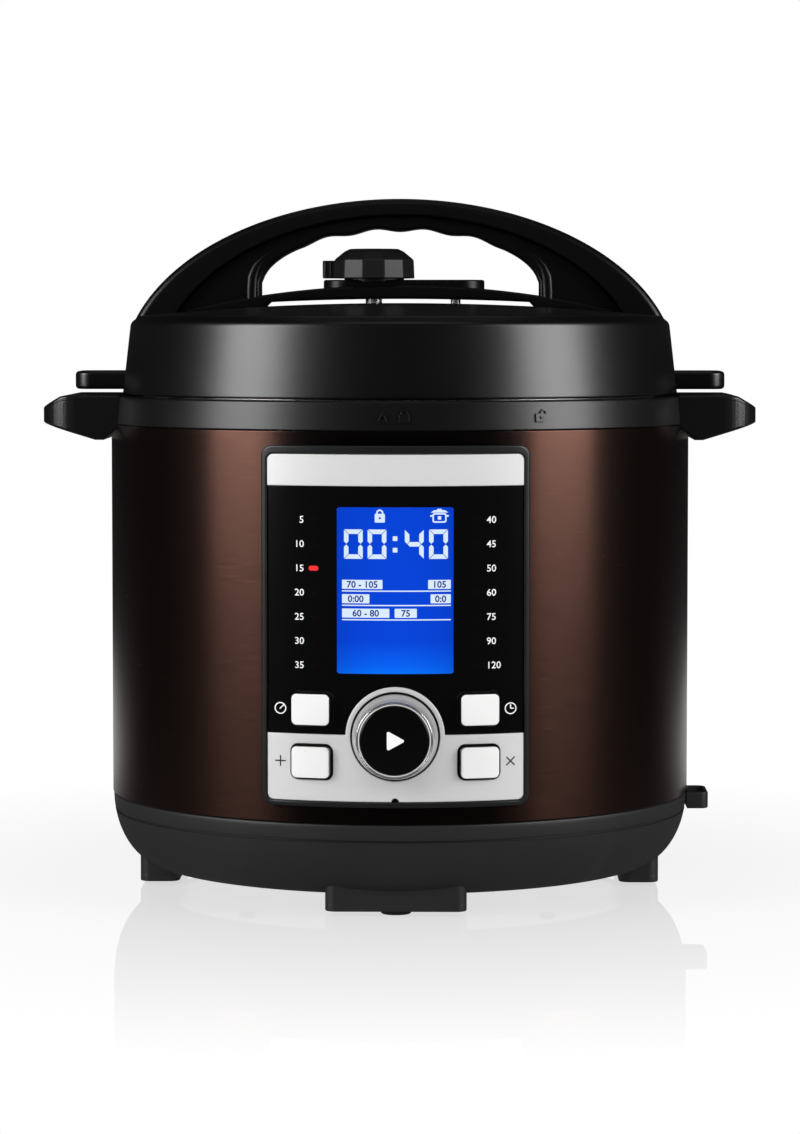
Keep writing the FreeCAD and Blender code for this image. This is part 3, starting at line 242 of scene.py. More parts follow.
metals = {
    "bronzeSteel": {"colour": (0.077, 0.034, 0.024), "roughness": 0.25, "around": True,
                    "lineLength": 9.0, "lineDensity": 1500.0, "contrast": 0.45, "lineRoughness": 0.12,
                    "lineStrength": 0.2, "lineDepth": 0.00003, "anisotropic": 0.6, "turned": 0.25,
                    # shaded paints the panel's reflection as a darker colour above and below the panel
                    "coat": 0.2, "coatRoughness": 0.3, "shaded": (0.043, 0.064, (0.018, 0.008, 0.006))},
    "silverTrim": {"colour": (0.74, 0.74, 0.738), "metallic": 0.25, "roughness": 0.4,
                   "lineLength": 12.0, "lineDensity": 1800.0, "contrast": 0.05, "lineRoughness": 0.1,
                   "lineStrength": 0.1, "lineDepth": 0.00002, "anisotropic": 0.3},
    "keySide": {"colour": (0.5, 0.5, 0.5), "roughness": 0.22, "lineLength": 300.0, "lineDensity": 300.0,
                "contrast": 0.04, "lineRoughness": 0.05, "lineStrength": 0.03, "lineDepth": 0.00001},
    "chrome": {"colour": (0.74, 0.74, 0.735), "metallic": 0.92, "roughness": 0.22,
               "lineLength": 500.0, "lineDensity": 500.0, "contrast": 0.04, "lineRoughness": 0.08,
               "lineStrength": 0.04, "lineDepth": 0.00001},
    "steel": {"colour": (0.66, 0.655, 0.645), "metallic": 0.6, "roughness": 0.27, "around": True,
              "lineLength": 3.0, "lineDensity": 2400.0, "contrast": 0.04, "lineRoughness": 0.05,
              "lineStrength": 0.05, "lineDepth": 0.00002, "anisotropic": 0.4},
    "aluminium": {"colour": (0.7, 0.7, 0.71), "metallic": 0.6, "roughness": 0.42, "around": True,
                  "lineLength": 6.0, "lineDensity": 900.0, "contrast": 0.1, "lineRoughness": 0.15,
                  "lineStrength": 0.2, "lineDepth": 0.00004, "anisotropic": 0.2},
    "paleSteel": {"colour": (0.8, 0.8, 0.8), "metallic": 0.3, "roughness": 0.35,
                  "lineLength": 400.0, "lineDensity": 400.0, "contrast": 0.05, "lineRoughness": 0.08,
                  "lineStrength": 0.05, "lineDepth": 0.00001},
    "contactMetal": {"colour": (0.72, 0.55, 0.3), "roughness": 0.35, "lineLength": 200.0,
                     "lineDensity": 900.0, "contrast": 0.1, "lineRoughness": 0.1,
                     "lineStrength": 0.1, "lineDepth": 0.00002},
}
for metalName, metalLook in metals.items():
    brushed(metalName, metalLook)


glossUsual = {"peelScale": 240.0, "peelDepth": 0.00002, "dustScale": 1400.0, "dustFade": 1.3,
              "dustRoughness": 0.05, "specular": 0.4, "coatRoughness": 0.03}


def glossy(name, ownLook):  # hard gloss plastic with a faint orange peel and a little dust
    look = {**glossUsual, **ownLook}
    start, spot = newFinish(name)
    peel = spot.noise(look["peelScale"], 2.0)
    dust = spot.noise(look["dustScale"], 3.0, 0.7)
    closeFinish(start, look, {
        "Base Color": dust.blend(look["colour"], [value * look["dustFade"] for value in look["colour"]]),
        "Roughness": look["roughness"] + dust * look["dustRoughness"],
        "Normal": peel.bump(look["waviness"], look["peelDepth"])})


glosses = {
    "glossBlack": {"colour": (0.0016, 0.0016, 0.0018), "roughness": 0.14, "waviness": 0.05, "coat": 0.2},
    "capBlack": {"colour": (0.0014, 0.0014, 0.0014), "roughness": 0.16, "waviness": 0.03, "coat": 0.1},
}
for glossName, glossLook in glosses.items():
    glossy(glossName, glossLook)


screenBox = cad("screen")
glowUsual = {"foot": screenBox[2] * mm, "head": screenBox[5] * mm, "half": screenBox[3] * mm,
             "unlit": ((0.0012, 0.006, 0.03), (0.0006, 0.003, 0.02)), "cellScale": 900.0,
             "cellShare": 0.05, "cellRoughness": 0.04, "roughness": 0.18, "specular": 0.25,
             "coat": 0.3, "coatRoughness": 0.03}


def glowing(name, ownLook):  # lit from behind, from the colour at the foot to the colour at the head
    look = {**glowUsual, **ownLook}
    start, spot = newFinish(name)
    share = ((spot.axis(2) - look["foot"]) / (look["head"] - look["foot"])).clamped()
    side = spot.axis(0) / look["half"]
    cells = spot.noise(look["cellScale"], 2.0)
    glow = share.node("ValToRGB", {"stops": look["stops"]}, {"Fac": share})
    dimmed = (side * side * look["edgeDim"] + (cells - 0.5) * look["cellShare"]).clamped()
    closeFinish(start, look, {
        "Base Color": dimmed.blend(*look["unlit"]),
        "Roughness": look["roughness"] + cells * look["cellRoughness"],
        "Emission Strength": 1.0, "Emission Color": dimmed.blend(glow, look["edge"])})


glows = {
    "screenBlue": {"edgeDim": 0.45, "edge": (0.0002, 0.035, 0.45), "coat": 0.1,
                   "stops": [(0.0, (0.0006, 0.16, 0.93)), (0.06, (0.0005, 0.11, 0.86)),
                             (0.2, (0.0003, 0.053, 0.67)), (1.0, (0.0003, 0.05, 0.65))]},
    "litDigits": {"edgeDim": 0.1, "edge": (0.5, 0.65, 0.9),
                  "stops": [(0.0, (0.72, 0.86, 0.98)), (1.0, (0.72, 0.84, 0.98))]},
    "litLamp": {"half": 2.0 * mm, "edgeDim": 0.0, "edge": (0.8, 0.02, 0.01),
                "stops": [(0.0, (0.95, 0.034, 0.008)), (1.0, (0.95, 0.034, 0.008))]},
}
for glowName, glowLook in glows.items():
    glowing(glowName, glowLook)
print("finishes", len(finishes))


# Mesh making.
def chain(*pairs):
    return [Vector(pair) for pair in pairs]


def outline(corners, steps=8):  # the points through (u, v, rounding) corners
    spots = []
    for i, (u, v, rounding) in enumerate(corners):
        here = Vector((u, v))
        if rounding <= 0:
            spots.append(here)
            continue
        back = (Vector(corners[i - 1][:2]) - here).normalized()
        onward = (Vector(corners[(i + 1) % len(corners)][:2]) - here).normalized()
        half = back.angle(onward) / 2
        centre = here + (back + onward).normalized() * rounding / sin(half)
        reach = rounding / tan(half)
        start, end = here + back * reach - centre, here + onward * reach - centre
        first = atan2(start.y, start.x)
        sweep = (atan2(end.y, end.x) - first + pi) % (2 * pi) - pi
        for step in range(steps + 1):
            angle = first + sweep * step / steps
            spots.append(centre + rounding * Vector((cos(angle), sin(angle))))
    return spots


def rectangle(u, v, width, height, rounding, steps=8):
    half, tall = width / 2, height / 2
    return outline([(u - half, v - tall, rounding), (u + half, v - tall, rounding),
                    (u + half, v + tall, rounding), (u - half, v + tall, rounding)], steps)


def tongue(root, reach, half, corner, steps, rootCorner=0):  # stands out along u
    return outline([(root, -half, rootCorner), (reach, -half, corner), (reach, half, corner),
                    (root, half, rootCorner)], steps)


def arc(radius, first, last, steps, u=0.0, v=0.0):  # angles in degrees
    angles = [radians(first + (last - first) * step / steps) for step in range(steps + 1)]
    return [Vector((u + radius * cos(a), v + radius * sin(a))) for a in angles]


def circle(radius, u=0.0, v=0.0, steps=48):
    return arc(radius, 0, 360, steps, u, v)[:-1]


def ellipse(half, rise, centre, first, steps):  # its upper part, from an angle in radians
    turns = [first + (pi - 2 * first) * step / steps for step in range(steps + 1)]
    return [Vector((half * cos(turn), centre + rise * sin(turn))) for turn in turns]


def turnsLeft(spots):
    return sum(a.x * b.y - b.x * a.y for a, b in zip(spots, spots[1:] + spots[:1])) > 0


def plate(outlines, low, high, edge, place=None, cuts=(), steps=3):
    # A flat piece from w = low to high with rounded edges; the outlines after the first are holes.
    curve = bpy.data.curves.new("outline", "CURVE")
    curve.dimensions = "2D"
    curve.fill_mode = "BOTH"
    curve.extrude = (high - low) / 2 - edge
    curve.bevel_depth = edge
    curve.bevel_resolution = steps
    curve.offset = -edge
    for order, spots in enumerate(outlines):
        if turnsLeft(spots) != (order == 0):
            spots = spots[::-1]
        spline = curve.splines.new("POLY")
        spline.points.add(len(spots) - 1)
        for point, spot in zip(spline.points, spots):
            point.co = (spot[0], spot[1], 0, 1)
        spline.use_cyclic_u = True
    return fromCurve(curve, (low + high) / 2, place, cuts)


def fromCurve(curve, middle, place, cuts):
    holder = bpy.data.objects.new("outline", curve)
    mesh = bpy.data.meshes.new_from_object(holder)
    made = bmesh.new()
    made.from_mesh(mesh)
    bpy.data.objects.remove(holder)
    bpy.data.meshes.remove(mesh)
    bmesh.ops.remove_doubles(made, verts=made.verts, dist=0.0005)
    for cut in cuts:
        everything = made.verts[:] + made.edges[:] + made.faces[:]
        bmesh.ops.bisect_plane(made, geom=everything, plane_co=(cut, 0, 0), plane_no=(1, 0, 0))
    for vert in made.verts:
        u, v, w = vert.co.x, vert.co.y, vert.co.z + middle
        vert.co = place(u, v, w) if place else (u, v, w)
    bmesh.ops.recalc_face_normals(made, faces=made.faces)
    return made


def lathe(profile, segments, closed=False, place=None, shape=None):
    # A profile of (radius, height) points turned about the vertical axis; shape() may move a point.
    made = bmesh.new()
    rows = []
    for radius, height in profile:
        count = 1 if radius < 1e-6 else segments
        row = []
        for i in range(count):
            angle = 2 * pi * i / segments
            spot = shape(radius, angle, height) if shape else (
                radius * cos(angle), radius * sin(angle), height)
            row.append(made.verts.new(place(*spot) if place else spot))
        rows.append(row)
    following = rows[1:] + (rows[:1] if closed else [])
    for near, far in zip(rows, following):
        for i in range(segments):
            j = (i + 1) % segments
            corners = [near[i % len(near)], near[j % len(near)], far[j % len(far)], far[i % len(far)]]
            corners = [spot for k, spot in enumerate(corners) if spot not in corners[:k]]
            if len(corners) > 2:
                made.faces.new(corners)
    bmesh.ops.recalc_face_normals(made, faces=made.faces)
    return made


def sweep(rings):  # a closed skin through rings of points, with flat ends
    made = bmesh.new()
    rows = [[made.verts.new(spot) for spot in ring] for ring in rings]
    for near, far in zip(rows, rows[1:]):
        for i in range(len(near)):
            j = (i + 1) % len(near)
            made.faces.new((near[i], near[j], far[j], far[i]))
    made.faces.new(rows[0][::-1])
    made.faces.new(rows[-1])
    bmesh.ops.recalc_face_normals(made, faces=made.faces)
    return made


def joined(shapes):
    whole = bmesh.new()
    for shape in shapes:
        mesh = bpy.data.meshes.new("part")
        shape.to_mesh(mesh)
        shape.free()
        whole.from_mesh(mesh)
        bpy.data.meshes.remove(mesh)
    return whole


def spun(shape, angle):  # about the pot's axis, in degrees
    shape.transform(Matrix.Rotation(radians(angle), 4, "Z"))
    return shape


def piece(name, shape, body, finish, nodes=(), sharp=32, sides=None):
    # sides names a second finish for the faces that turn away from the direction given with it
    shape.transform(Matrix.Scale(mm, 4))
    mesh = bpy.data.meshes.new(name)
    shape.to_mesh(mesh)
    shape.free()
    mesh.materials.append(finishes[finish])
    if sides:
        mesh.materials.append(finishes[sides[0]])
        for face in mesh.polygons:
            face.material_index = int(face.normal.dot(sides[1]) < 0.5)
    mesh.polygons.foreach_set("use_smooth", [True] * len(mesh.polygons))
    mesh.set_sharp_from_angle(angle=radians(sharp))
    made = bpy.data.objects.new(name, mesh)
    scene.collection.objects.link(made)
    even = made.modifiers.new("evenNormals", "WEIGHTED_NORMAL")
    even.keep_sharp = True
    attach(made, body)
    if nodes:
        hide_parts(*nodes)
    return made


def onPanel(radius):  # u across, v up and w out from a cylinder, seen from the front
    return lambda u, v, w: Vector((u, -sqrt((radius + w) ** 2 - u * u), v))


def standing(u, v, w):  # u across, v up, w towards the back
    return Vector((u, w, v))


def columns(half, step=3.0):
    count = int(half / step)
    return [step * i for i in range(-count, count + 1)]


# Base.
baseBox = cad("base_shell")
baseLook = {"curveWidth": 24.0, "wall": 2.6, "ringRadius": 112.0, "top": cad("outer_shell")[2] - 0.12,
            "bottom": cad("bottom_cover")[2], "creaseDrop": 8.5, "creaseDepth": 0.8, "creaseHeight": 1.0,
            "creaseGap": 0.1, "padInner": 106.0, "padOuter": 125.0, "padWidth": 65.0, "padCorner": 5.0,
            "padFoot": 3.5, "padSeat": 3.2, "padTop": 16.0, "recess": 7.1, "segments": 320}


def makeBase(look):
    outer = baseBox[3]
    middle = outer - look["curveWidth"]
    tall = look["top"] - look["bottom"]

    def side(inset, steps):
        spots = []
        for step in range(steps + 1):
            turn = radians(90 * step / steps)
            spots.append(Vector((middle + (look["curveWidth"] - inset) * cos(turn),
                                 look["top"] - (tall - inset) * sin(turn))))
        return spots

    crease, gap = look["top"] - look["creaseDrop"], look["creaseGap"]
    ceiling, depth = crease + look["creaseHeight"], look["creaseDepth"]
    skin = chain((outer - 0.9, look["top"]), (outer - 0.25, look["top"] - 0.5))
    skin += [spot for spot in side(0, 48)[1:] if not crease - gap < spot.y < ceiling + gap]
    here = next(i for i, spot in enumerate(skin) if spot.y < crease)
    edge = skin[here].x + 0.15
    groove = chain((edge + 0.08, ceiling + 0.12), (edge - 0.1, ceiling), (edge - depth, ceiling - 0.15),
                   (edge - depth, crease + 0.15), (edge - 0.15, crease), (edge, crease - 0.12))
    near, low = look["ringRadius"], look["bottom"]
    ring = chain((near + 1, low), (near, low + 0.8), (near, low + look["wall"]))
    inner = side(look["wall"], 24)[::-1]
    profile = skin[:here] + groove + skin[here:] + ring + inner[1:]
    shapes = [lathe(profile, look["segments"], closed=True)]
    out, low = (look["padInner"] + look["padOuter"]) / 2, baseBox[2]
    plan = rectangle(out, 0, look["padOuter"] - look["padInner"], look["padWidth"], look["padCorner"])
    recess = circle(look["recess"], out)
    for turn in (0, 90, 180, 270):
        shapes.append(spun(plate([plan, recess], low, low + look["padFoot"], 0.5), turn))
        shapes.append(spun(plate([plan], low + look["padSeat"], look["padTop"], 0.3), turn))
    return joined(shapes)


piece("base_body", makeBase(baseLook), "cooker", "basePlastic", ["base_shell"])

spoonLook = {"corner": 4.0, "wall": 2.2, "edge": 0.7, "rootWall": 1.4, "rootCorner": 0.8, "holeCorner": 2.0}


def makeSpoonHolder(look):
    x0, y0, z0, x1, y1, z1 = cad("spoon_holder")
    loop = outline([(x0, y0, 0), (x1, y0, look["corner"]), (x1, y1, look["corner"]), (x0, y1, 0)])
    wall, root = look["wall"], look["rootWall"]
    hole = outline([(x0 + root, y0 + wall, look["rootCorner"]), (x1 - wall, y0 + wall, look["holeCorner"]),
                    (x1 - wall, y1 - wall, look["holeCorner"]), (x0 + root, y1 - wall, look["rootCorner"])])
    return plate([loop, hole], z0, z1, look["edge"])


piece("spoon_loop", makeSpoonHolder(spoonLook), "cooker", "basePlastic", ["spoon_holder"])
print("base made")


# Outer shell.
bezelBox = cad("panel_bezel")
shellLook = {"wall": 1.0, "rolled": 0.45, "openingHalf": 57.5, "openingEdge": 2.6, "openingTall": 50.0,
             "segments": 360}


def makeShell(look):
    x0, y0, z0, x1, y1, z1 = cad("outer_shell")
    wall, rolled = look["wall"], look["rolled"]
    low, high = bezelBox[2] + look["openingEdge"], bezelBox[5] - look["openingEdge"]
    section = outline([(x1 - wall, z0, 0), (x1, z0, rolled), (x1, z1, rolled), (x1 - wall, z1, 0)], 4)
    bottomRows = [spot for spot in section if spot.y < (z0 + z1) / 2]
    topRows = [spot for spot in section if spot.y >= (z0 + z1) / 2]
    profile = bottomRows + chain((x1, low), (x1, high)) + topRows
    profile += chain((x1 - wall, high), (x1 - wall, low))
    shell = lathe(profile, look["segments"], closed=True)
    middle = (low + high) / 2
    gone = []  # the tall faces behind the panel
    for face in shell.faces:
        spot = face.calc_center_median()
        tall = max(v.co.z for v in face.verts) - min(v.co.z for v in face.verts)
        inFront = abs(spot.x) < look["openingHalf"] and spot.y < 0 and abs(spot.z - middle) < 1
        if inFront and tall > look["openingTall"]:
            gone.append(face)
    rim = {edge for face in gone for edge in face.edges}
    bmesh.ops.delete(shell, geom=gone, context="FACES_ONLY")
    openEdges = [edge for edge in shell.edges if edge.is_boundary and edge in rim]
    bmesh.ops.bridge_loops(shell, edges=openEdges)
    return shell


piece("shell_skin", makeShell(shellLook), "cooker", "bronzeSteel", ["outer_shell"], 40)


# Collar with its two side handles.
collarBox = cad("collar")
collarLook = {"bore": 128.2, "footInset": 0.3, "topRadius": 138.4, "top": 236.0, "bottom": 222.5,
              "shelf": 225.9, "shelfRadius": 120.0, "handleHalf": 39.0, "handleCorner": 16.0,
              "handleRoot": 133.0, "handleEdge": 1.3, "handleWall": 2.6, "handleGap": 3.5,
              "innerCorner": 13.4, "layers": 15.0, "wallTop": 13.5, "coverFoot": 11.5, "segments": 320,
              "cuts": (141.0, 145.0, 150.0, 155.0, 159.0, 160.5, 162.0, 165.0, 168.0),
              "rearTab": (18.0, 20.0), "rearTabHeights": (222.7, 225.5),
              "over": [(133.0, 236.5), (159.0, 236.5), (162.0, 235.9), (171.0, 230.7)],
              "under": [(133.0, 222.0), (141.0, 215.2), (145.0, 215.2), (165.0, 221.3), (171.0, 223.2)]}


def along(route, x):  # height of a chain of (x, height) points at x
    for (x0, z0), (x1, z1) in zip(route, route[1:]):
        if x <= x1:
            return z0 + (z1 - z0) * max(0.0, x - x0) / (x1 - x0)
    return route[-1][1]


def makeCollar(look):
    low, high, shelf = look["bottom"], look["top"], look["shelf"]
    near, bore = look["shelfRadius"], look["bore"]
    section = outline([(near, low, 0), (bodyRadius - look["footInset"], low, 0.6),
                       (look["topRadius"], high, 1.2), (bore, high, 0.9), (bore, shelf, 0.5),
                       (near, shelf, 0.5)], 5)
    shapes = [lathe(section, look["segments"], closed=True)]
    reach, root, half = cad("side_handles")[3], look["handleRoot"], look["handleHalf"]
    wall, start = look["handleWall"], bodyRadius + look["handleGap"]
    edge, cuts = look["handleEdge"], look["cuts"]

    def bent(u, v, w):  # w runs from 0 at the underside to the number of layers at the top
        low, high = along(look["under"], u), along(look["over"], u)
        return Vector((u, v, low + (high - low) * w / look["layers"]))

    plan = tongue(root, reach, half, look["handleCorner"], 14)
    inner = tongue(start, reach - wall, half - wall, look["innerCorner"], 14, 0.6)
    for side in (0, 180):
        shapes.append(spun(plate([plan, inner], 0, look["wallTop"], edge, bent, cuts, 4), side))
        shapes.append(spun(plate([plan], look["coverFoot"], look["layers"], edge, bent, cuts, 4), side))
    wide, long = look["rearTab"]
    tab = rectangle(0, collarBox[4] - long / 2, wide, long, 2.0)
    shapes.append(plate([tab], *look["rearTabHeights"], 0.6))
    return joined(shapes)


piece("collar_ring", makeCollar(collarLook), "cooker", "collarPlastic",
      ["collar", "side_handles"])
print("shell and collar made")


# Lid.
lidBox = cad("lid_cover")
lidLook = {"lowRadius": 134.5, "highRadius": 130.5, "shoulder": 271.0, "shoulderRound": 4.0,
           "domeRadius": 126.0, "domeEdge": 274.3, "wall": 3.0, "finBottom": 239.0, "finHeight": 8.7,
           "finHalf": 17.0, "finCorner": 8.0, "finEdge": 1.8, "finRoot": 129.0, "segments": 320}


def domeHeight(radius, look):
    sag = lidBox[5] - look["domeEdge"]
    return lidBox[5] - sag * (radius / look["domeRadius"]) ** 2


def makeLid(look):
    low, wall = lidBox[2], look["wall"]
    skirt = outline([(look["lowRadius"] - wall, low, 0), (look["lowRadius"], low, 1.0),
                     (look["highRadius"], look["shoulder"], look["shoulderRound"]),
                     (look["domeRadius"] + 0.9, look["domeEdge"] - 0.5, 0.5),
                     (look["domeRadius"], look["domeEdge"], 0)], 8)
    crown = [Vector((radius, domeHeight(radius, look))) for radius in range(124, -1, -4)]
    inside = [Vector((radius, domeHeight(radius, look) - wall)) for radius in range(0, 121, 12)]
    inner = chain((look["highRadius"] - wall - 0.5, look["shoulder"] - wall - 2))
    shell = lathe(skirt + crown + inside + inner, look["segments"], closed=True)
    plan = tongue(look["finRoot"], cad("lid_fins")[3], look["finHalf"], look["finCorner"], 12)
    fins = [spun(plate([plan], look["finBottom"], look["finBottom"] + look["finHeight"], look["finEdge"],
                       steps=4), side) for side in (0, 180)]
    return joined([shell] + fins)


piece("lid_shell", makeLid(lidLook), "lid", "lidPlastic",
      ["lid_cover", "lid_fins"])


# Lid handle.
archLook = {"half": 134.0, "rise": 83.5, "centre": 247.0, "footThickness": 17.6, "thickness": 7.8,
            "depth": 36.0, "outerRound": 4.0, "innerRound": 0.8, "steps": 120, "startHeight": 268.0}


def makeArch(look):
    rings = []
    half, rise, centre = look["half"], look["rise"], look["centre"]
    first = asin((look["startHeight"] - centre) / rise)
    outers = ellipse(half, rise, centre, first, look["steps"])
    inners = ellipse(half - look["footThickness"], rise - look["thickness"], centre, first, look["steps"])
    deep = look["depth"] / 2
    for outer, inner in zip(outers, inners):
        thick = (outer - inner).length
        way = (outer - inner) / thick
        section = outline([(0, -deep, look["innerRound"]), (thick, -deep, look["outerRound"]),
                           (thick, deep, look["outerRound"]), (0, deep, look["innerRound"])], 6)
        rings.append([Vector((inner.x + way.x * u, v, inner.y + way.y * u)) for u, v in section])
    return sweep(rings)


piece("handle_band", makeArch(archLook), "lid", "handlePlastic", ["handle_arch"])

innerBox = cad("handle_inner")
webLook = {"windowHalf": 67.5, "windowRise": 27.0, "windowFloor": 288.3, "pitch": 24.0, "scallops": 4,
           "scallopDepth": 1.6, "edge": 1.6, "lipRadius": 2.4,
           "lipRoute": [(71.4, 274.0), (71.4, 287.0), (71.0, 293.0), (69.2, 298.0), (65.4, 302.4),
                        (59.5, 306.2), (52.0, 309.6)],
           "overlap": 9.0, "footHeight": 270.0, "holeBottom": 272.0, "windowStart": 2.0, "steps": 96}


def windowTop(x, look):  # the scalloped underside of the grip
    rise = look["windowRise"] * sqrt(max(0.0, 1 - (x / look["windowHalf"]) ** 2))
    reach = look["pitch"] * look["scallops"] / 2
    fade = max(0.0, min(1.0, (reach + 4 - abs(x)) / 8))
    wave = 0.5 - 0.5 * cos(2 * pi * x / look["pitch"])
    return look["windowFloor"] + rise + look["scallopDepth"] * (wave - 0.15) * fade


def makeWeb(look):
    half, centre = innerBox[3] + look["overlap"], archLook["centre"]
    rise = innerBox[5] - centre
    foot = asin((look["footHeight"] - centre) / rise)
    outer = ellipse(half, rise, centre, foot, look["steps"])
    wide, bottom = look["windowHalf"], look["holeBottom"]
    start = look["windowFloor"] + look["windowStart"]
    window = [Vector((x, windowTop(x, look))) for x in columns(wide, 1.5)[1:-1]]
    window = chain((-wide, bottom), (-wide, start)) + window + chain((wide, start), (wide, bottom))
    deep = (innerBox[4] - innerBox[1]) / 2
    shapes = [plate([outer + window], -deep, deep, look["edge"], standing, steps=4)]
    for side in (-1, 1):
        route = [Vector((side * x, 0, z)) for x, z in look["lipRoute"]]
        rings = []
        for order, spot in enumerate(route):
            onward = (route[min(order + 1, len(route) - 1)] - route[max(order - 1, 0)]).normalized()
            across = Vector((onward.z, 0, -onward.x))
            radius = look["lipRadius"] * (1 - 0.9 * max(0, order - 2) / (len(route) - 3))
            rings.append([spot + across * radius * cos(turn)
                          + Vector((0, -deep + 0.5 + 0.6 * radius * sin(turn), 0))
                          for turn in [2 * pi * k / 20 for k in range(20)]])
        shapes.append(sweep(rings))
    return joined(shapes)


piece("handle_web", makeWeb(webLook), "lid", "handlePlastic", ["handle_inner"])
bridgeLook = {"top": 289.1, "half": 105.0, "end": 276.8, "depth": 29.0, "slit": 2.0, "slitHalf": 66.0,
              "edge": 1.4, "steps": 70}


def makeBridge(look):
    drop = look["top"] - look["end"]
    radius = (look["half"] ** 2 + drop ** 2) / (2 * drop)
    places = [look["half"] * (1 - 2 * step / look["steps"]) for step in range(look["steps"] + 1)]
    tops = [Vector((x, look["top"] - radius + sqrt(radius ** 2 - x * x))) for x in places]
    under = []
    for x in [-place for place in places]:
        lift = look["slit"] if abs(x) < look["slitHalf"] else -1.0
        under.append(Vector((x, domeHeight(x, lidLook) + lift)))
    deep = look["depth"] / 2
    return plate([tops + under[1:-1]], -deep, deep, look["edge"], standing)


piece("handle_bridge", makeBridge(bridgeLook), "lid", "handlePlastic")
print("lid and handle made")


# Steam valve.
deckLook = {"corner": 12.0, "edge": 1.1, "sink": 2.0, "wellGap": 0.6}


def makeDeck(look):
    x0, y0, z0, x1, y1, z1 = cad("valve_deck")
    pin = cad("float_pin")
    well = circle((pin[3] - pin[0]) / 2 + look["wellGap"], (pin[0] + pin[3]) / 2, 0, 40)
    return plate([rectangle((x0 + x1) / 2, 0, x1 - x0, y1 - y0, look["corner"], 14), well],
                 z0 - look["sink"], z1, look["edge"], steps=5)


piece("valve_plinth", makeDeck(deckLook), "lid", "handlePlastic", ["valve_deck"])

knobLook = {"facets": 12, "halfWidth": 19.7, "sideHeight": 9.0, "topRadius": 11.4, "neckRadius": 14.5,
            "neckHeight": 0.2, "neckSink": 1.7, "neckLap": 0.5, "flare": 0.6, "bevel": 0.7,
            "slope": (3.6, 1.4), "topRound": 0.6, "tabWidth": 7.0, "tabHeight": 8.6, "tabCorner": 1.4,
            "tabRib": 0.9, "tabRoot": 2.0, "ribPlaces": (1.6, 4.0)}


def makeValveKnob(look):
    x0, y0, z0, x1, y1, z1 = cad("valve_knob")
    middle = x1 - look["halfWidth"]
    count = look["facets"]
    wide = look["halfWidth"] / cos(pi / count)
    base = z0 + look["neckHeight"]
    shoulder = base + look["sideHeight"]
    profile = [(0, base), (wide - 0.2, base), (wide - look["flare"], shoulder),
               (look["topRadius"] + look["slope"][0], z1 - look["slope"][1]),
               (look["topRadius"] + look["topRound"], z1), (0, z1)]
    turn = pi / count
    head = lathe(profile, count, shape=lambda r, a, z: (r * cos(a + turn), r * sin(a + turn), z))
    edges = [edge for edge in head.edges if edge.calc_face_angle(0) > radians(12)
             and min(v.co.xy.length for v in edge.verts) > 1]
    bmesh.ops.bevel(head, geom=edges, offset=look["bevel"], segments=3, profile=0.6, affect="EDGES")
    foot, lap, reach = z0 - look["neckSink"], base + look["neckLap"], look["neckRadius"]
    neck = lathe(outline([(0, foot, 0), (reach, foot, 0.5), (reach, lap, 0), (0, lap, 0)], 5), 64)
    left = x0 - middle
    inner = look["tabRoot"] - look["halfWidth"]
    top, across = base + look["tabHeight"], look["tabWidth"]
    tab = plate([rectangle((left + inner) / 2, 0, inner - left, across, look["tabCorner"])], base, top, 0.6)
    ribs = [plate([rectangle(left + place, 0, look["tabRib"], across + 0.8, 0.3)], base + 0.3, top - 0.3, 0.2)
            for place in look["ribPlaces"]]
    knob = joined([head, neck, tab] + ribs)
    knob.transform(Matrix.Translation((middle, 0, 0)))
    return knob


piece("steam_knob", makeValveKnob(knobLook), "valve_grip", "knobPlastic", ["valve_knob"], 20)
print("valve made")


# Control panel.
fasciaBox = cad("fascia")
dialBox = cad("dial_ring")
dialHeight = (dialBox[2] + dialBox[5]) / 2
keyBodies = {"key_upper_left": "key_ul", "key_upper_right": "key_ur",
             "key_lower_left": "key_ll", "key_lower_right": "key_lr"}
panelLook = {"corner": 5.0, "rim": 2.6, "edge": 0.8, "plateEdge": 0.35, "bump": 22.5, "shaft": 20.3,
             "keyWidth": 18.0, "keyHeight": 14.3, "keyCorner": 2.4, "keyEdge": 0.7, "keyGap": 1.1,
             "keyFront": bodyRadius + 5.0, "keyBack": bodyRadius - 2.0, "keyMiddle": bodyRadius - 4.2,
             "keyDome": 0.35, "notch": 1.7, "bandDrop": 1.2, "trimRadius": bodyRadius + 1.8,
             "fasciaRadius": bodyRadius + 1.3, "plateDepth": 1.55, "innerCorner": 2.8,
             "screenCorner": 1.2, "screenDepth": 1.5}


def panelPlate(outlines, low, high, edge, half, steps=3):  # bent round the body, half as wide as said
    return plate(outlines, low, high, edge, onPanel(bodyRadius), columns(half, 2.5), steps)


def keyPlace(node):  # the turn about the pot's axis and the height of a key
    x0, y0, z0, x1, y1, z1 = cad(node)
    middle = (x0 + x1) / 2
    return degrees(asin(middle / panelLook["keyMiddle"])), (z0 + z1) / 2


def keyHole(node, radius, look):
    turn, height = keyPlace(node)
    turn, gap = radians(turn), look["keyGap"]
    across = (look["keyWidth"] + 2 * gap) * cos(turn)
    return rectangle(radius * sin(turn), height, across, look["keyHeight"] + 2 * gap,
                     look["keyCorner"] + gap)


def makeBezel(look):
    x0, y0, z0, x1, y1, z1 = bezelBox
    wide, tall, rim, drop = x1 - x0, z1 - z0, look["rim"], look["bandDrop"]
    outer = rectangle(0, (z0 + z1) / 2, wide, tall, look["corner"], 10)
    inner = rectangle(0, (z0 + z1 - drop) / 2, wide - 2 * rim, tall - 2 * rim - drop,
                      look["corner"] - rim + 0.5, 10)
    return panelPlate([outer, inner], 0.12, -y0 - bodyRadius, look["edge"], x1, 4)


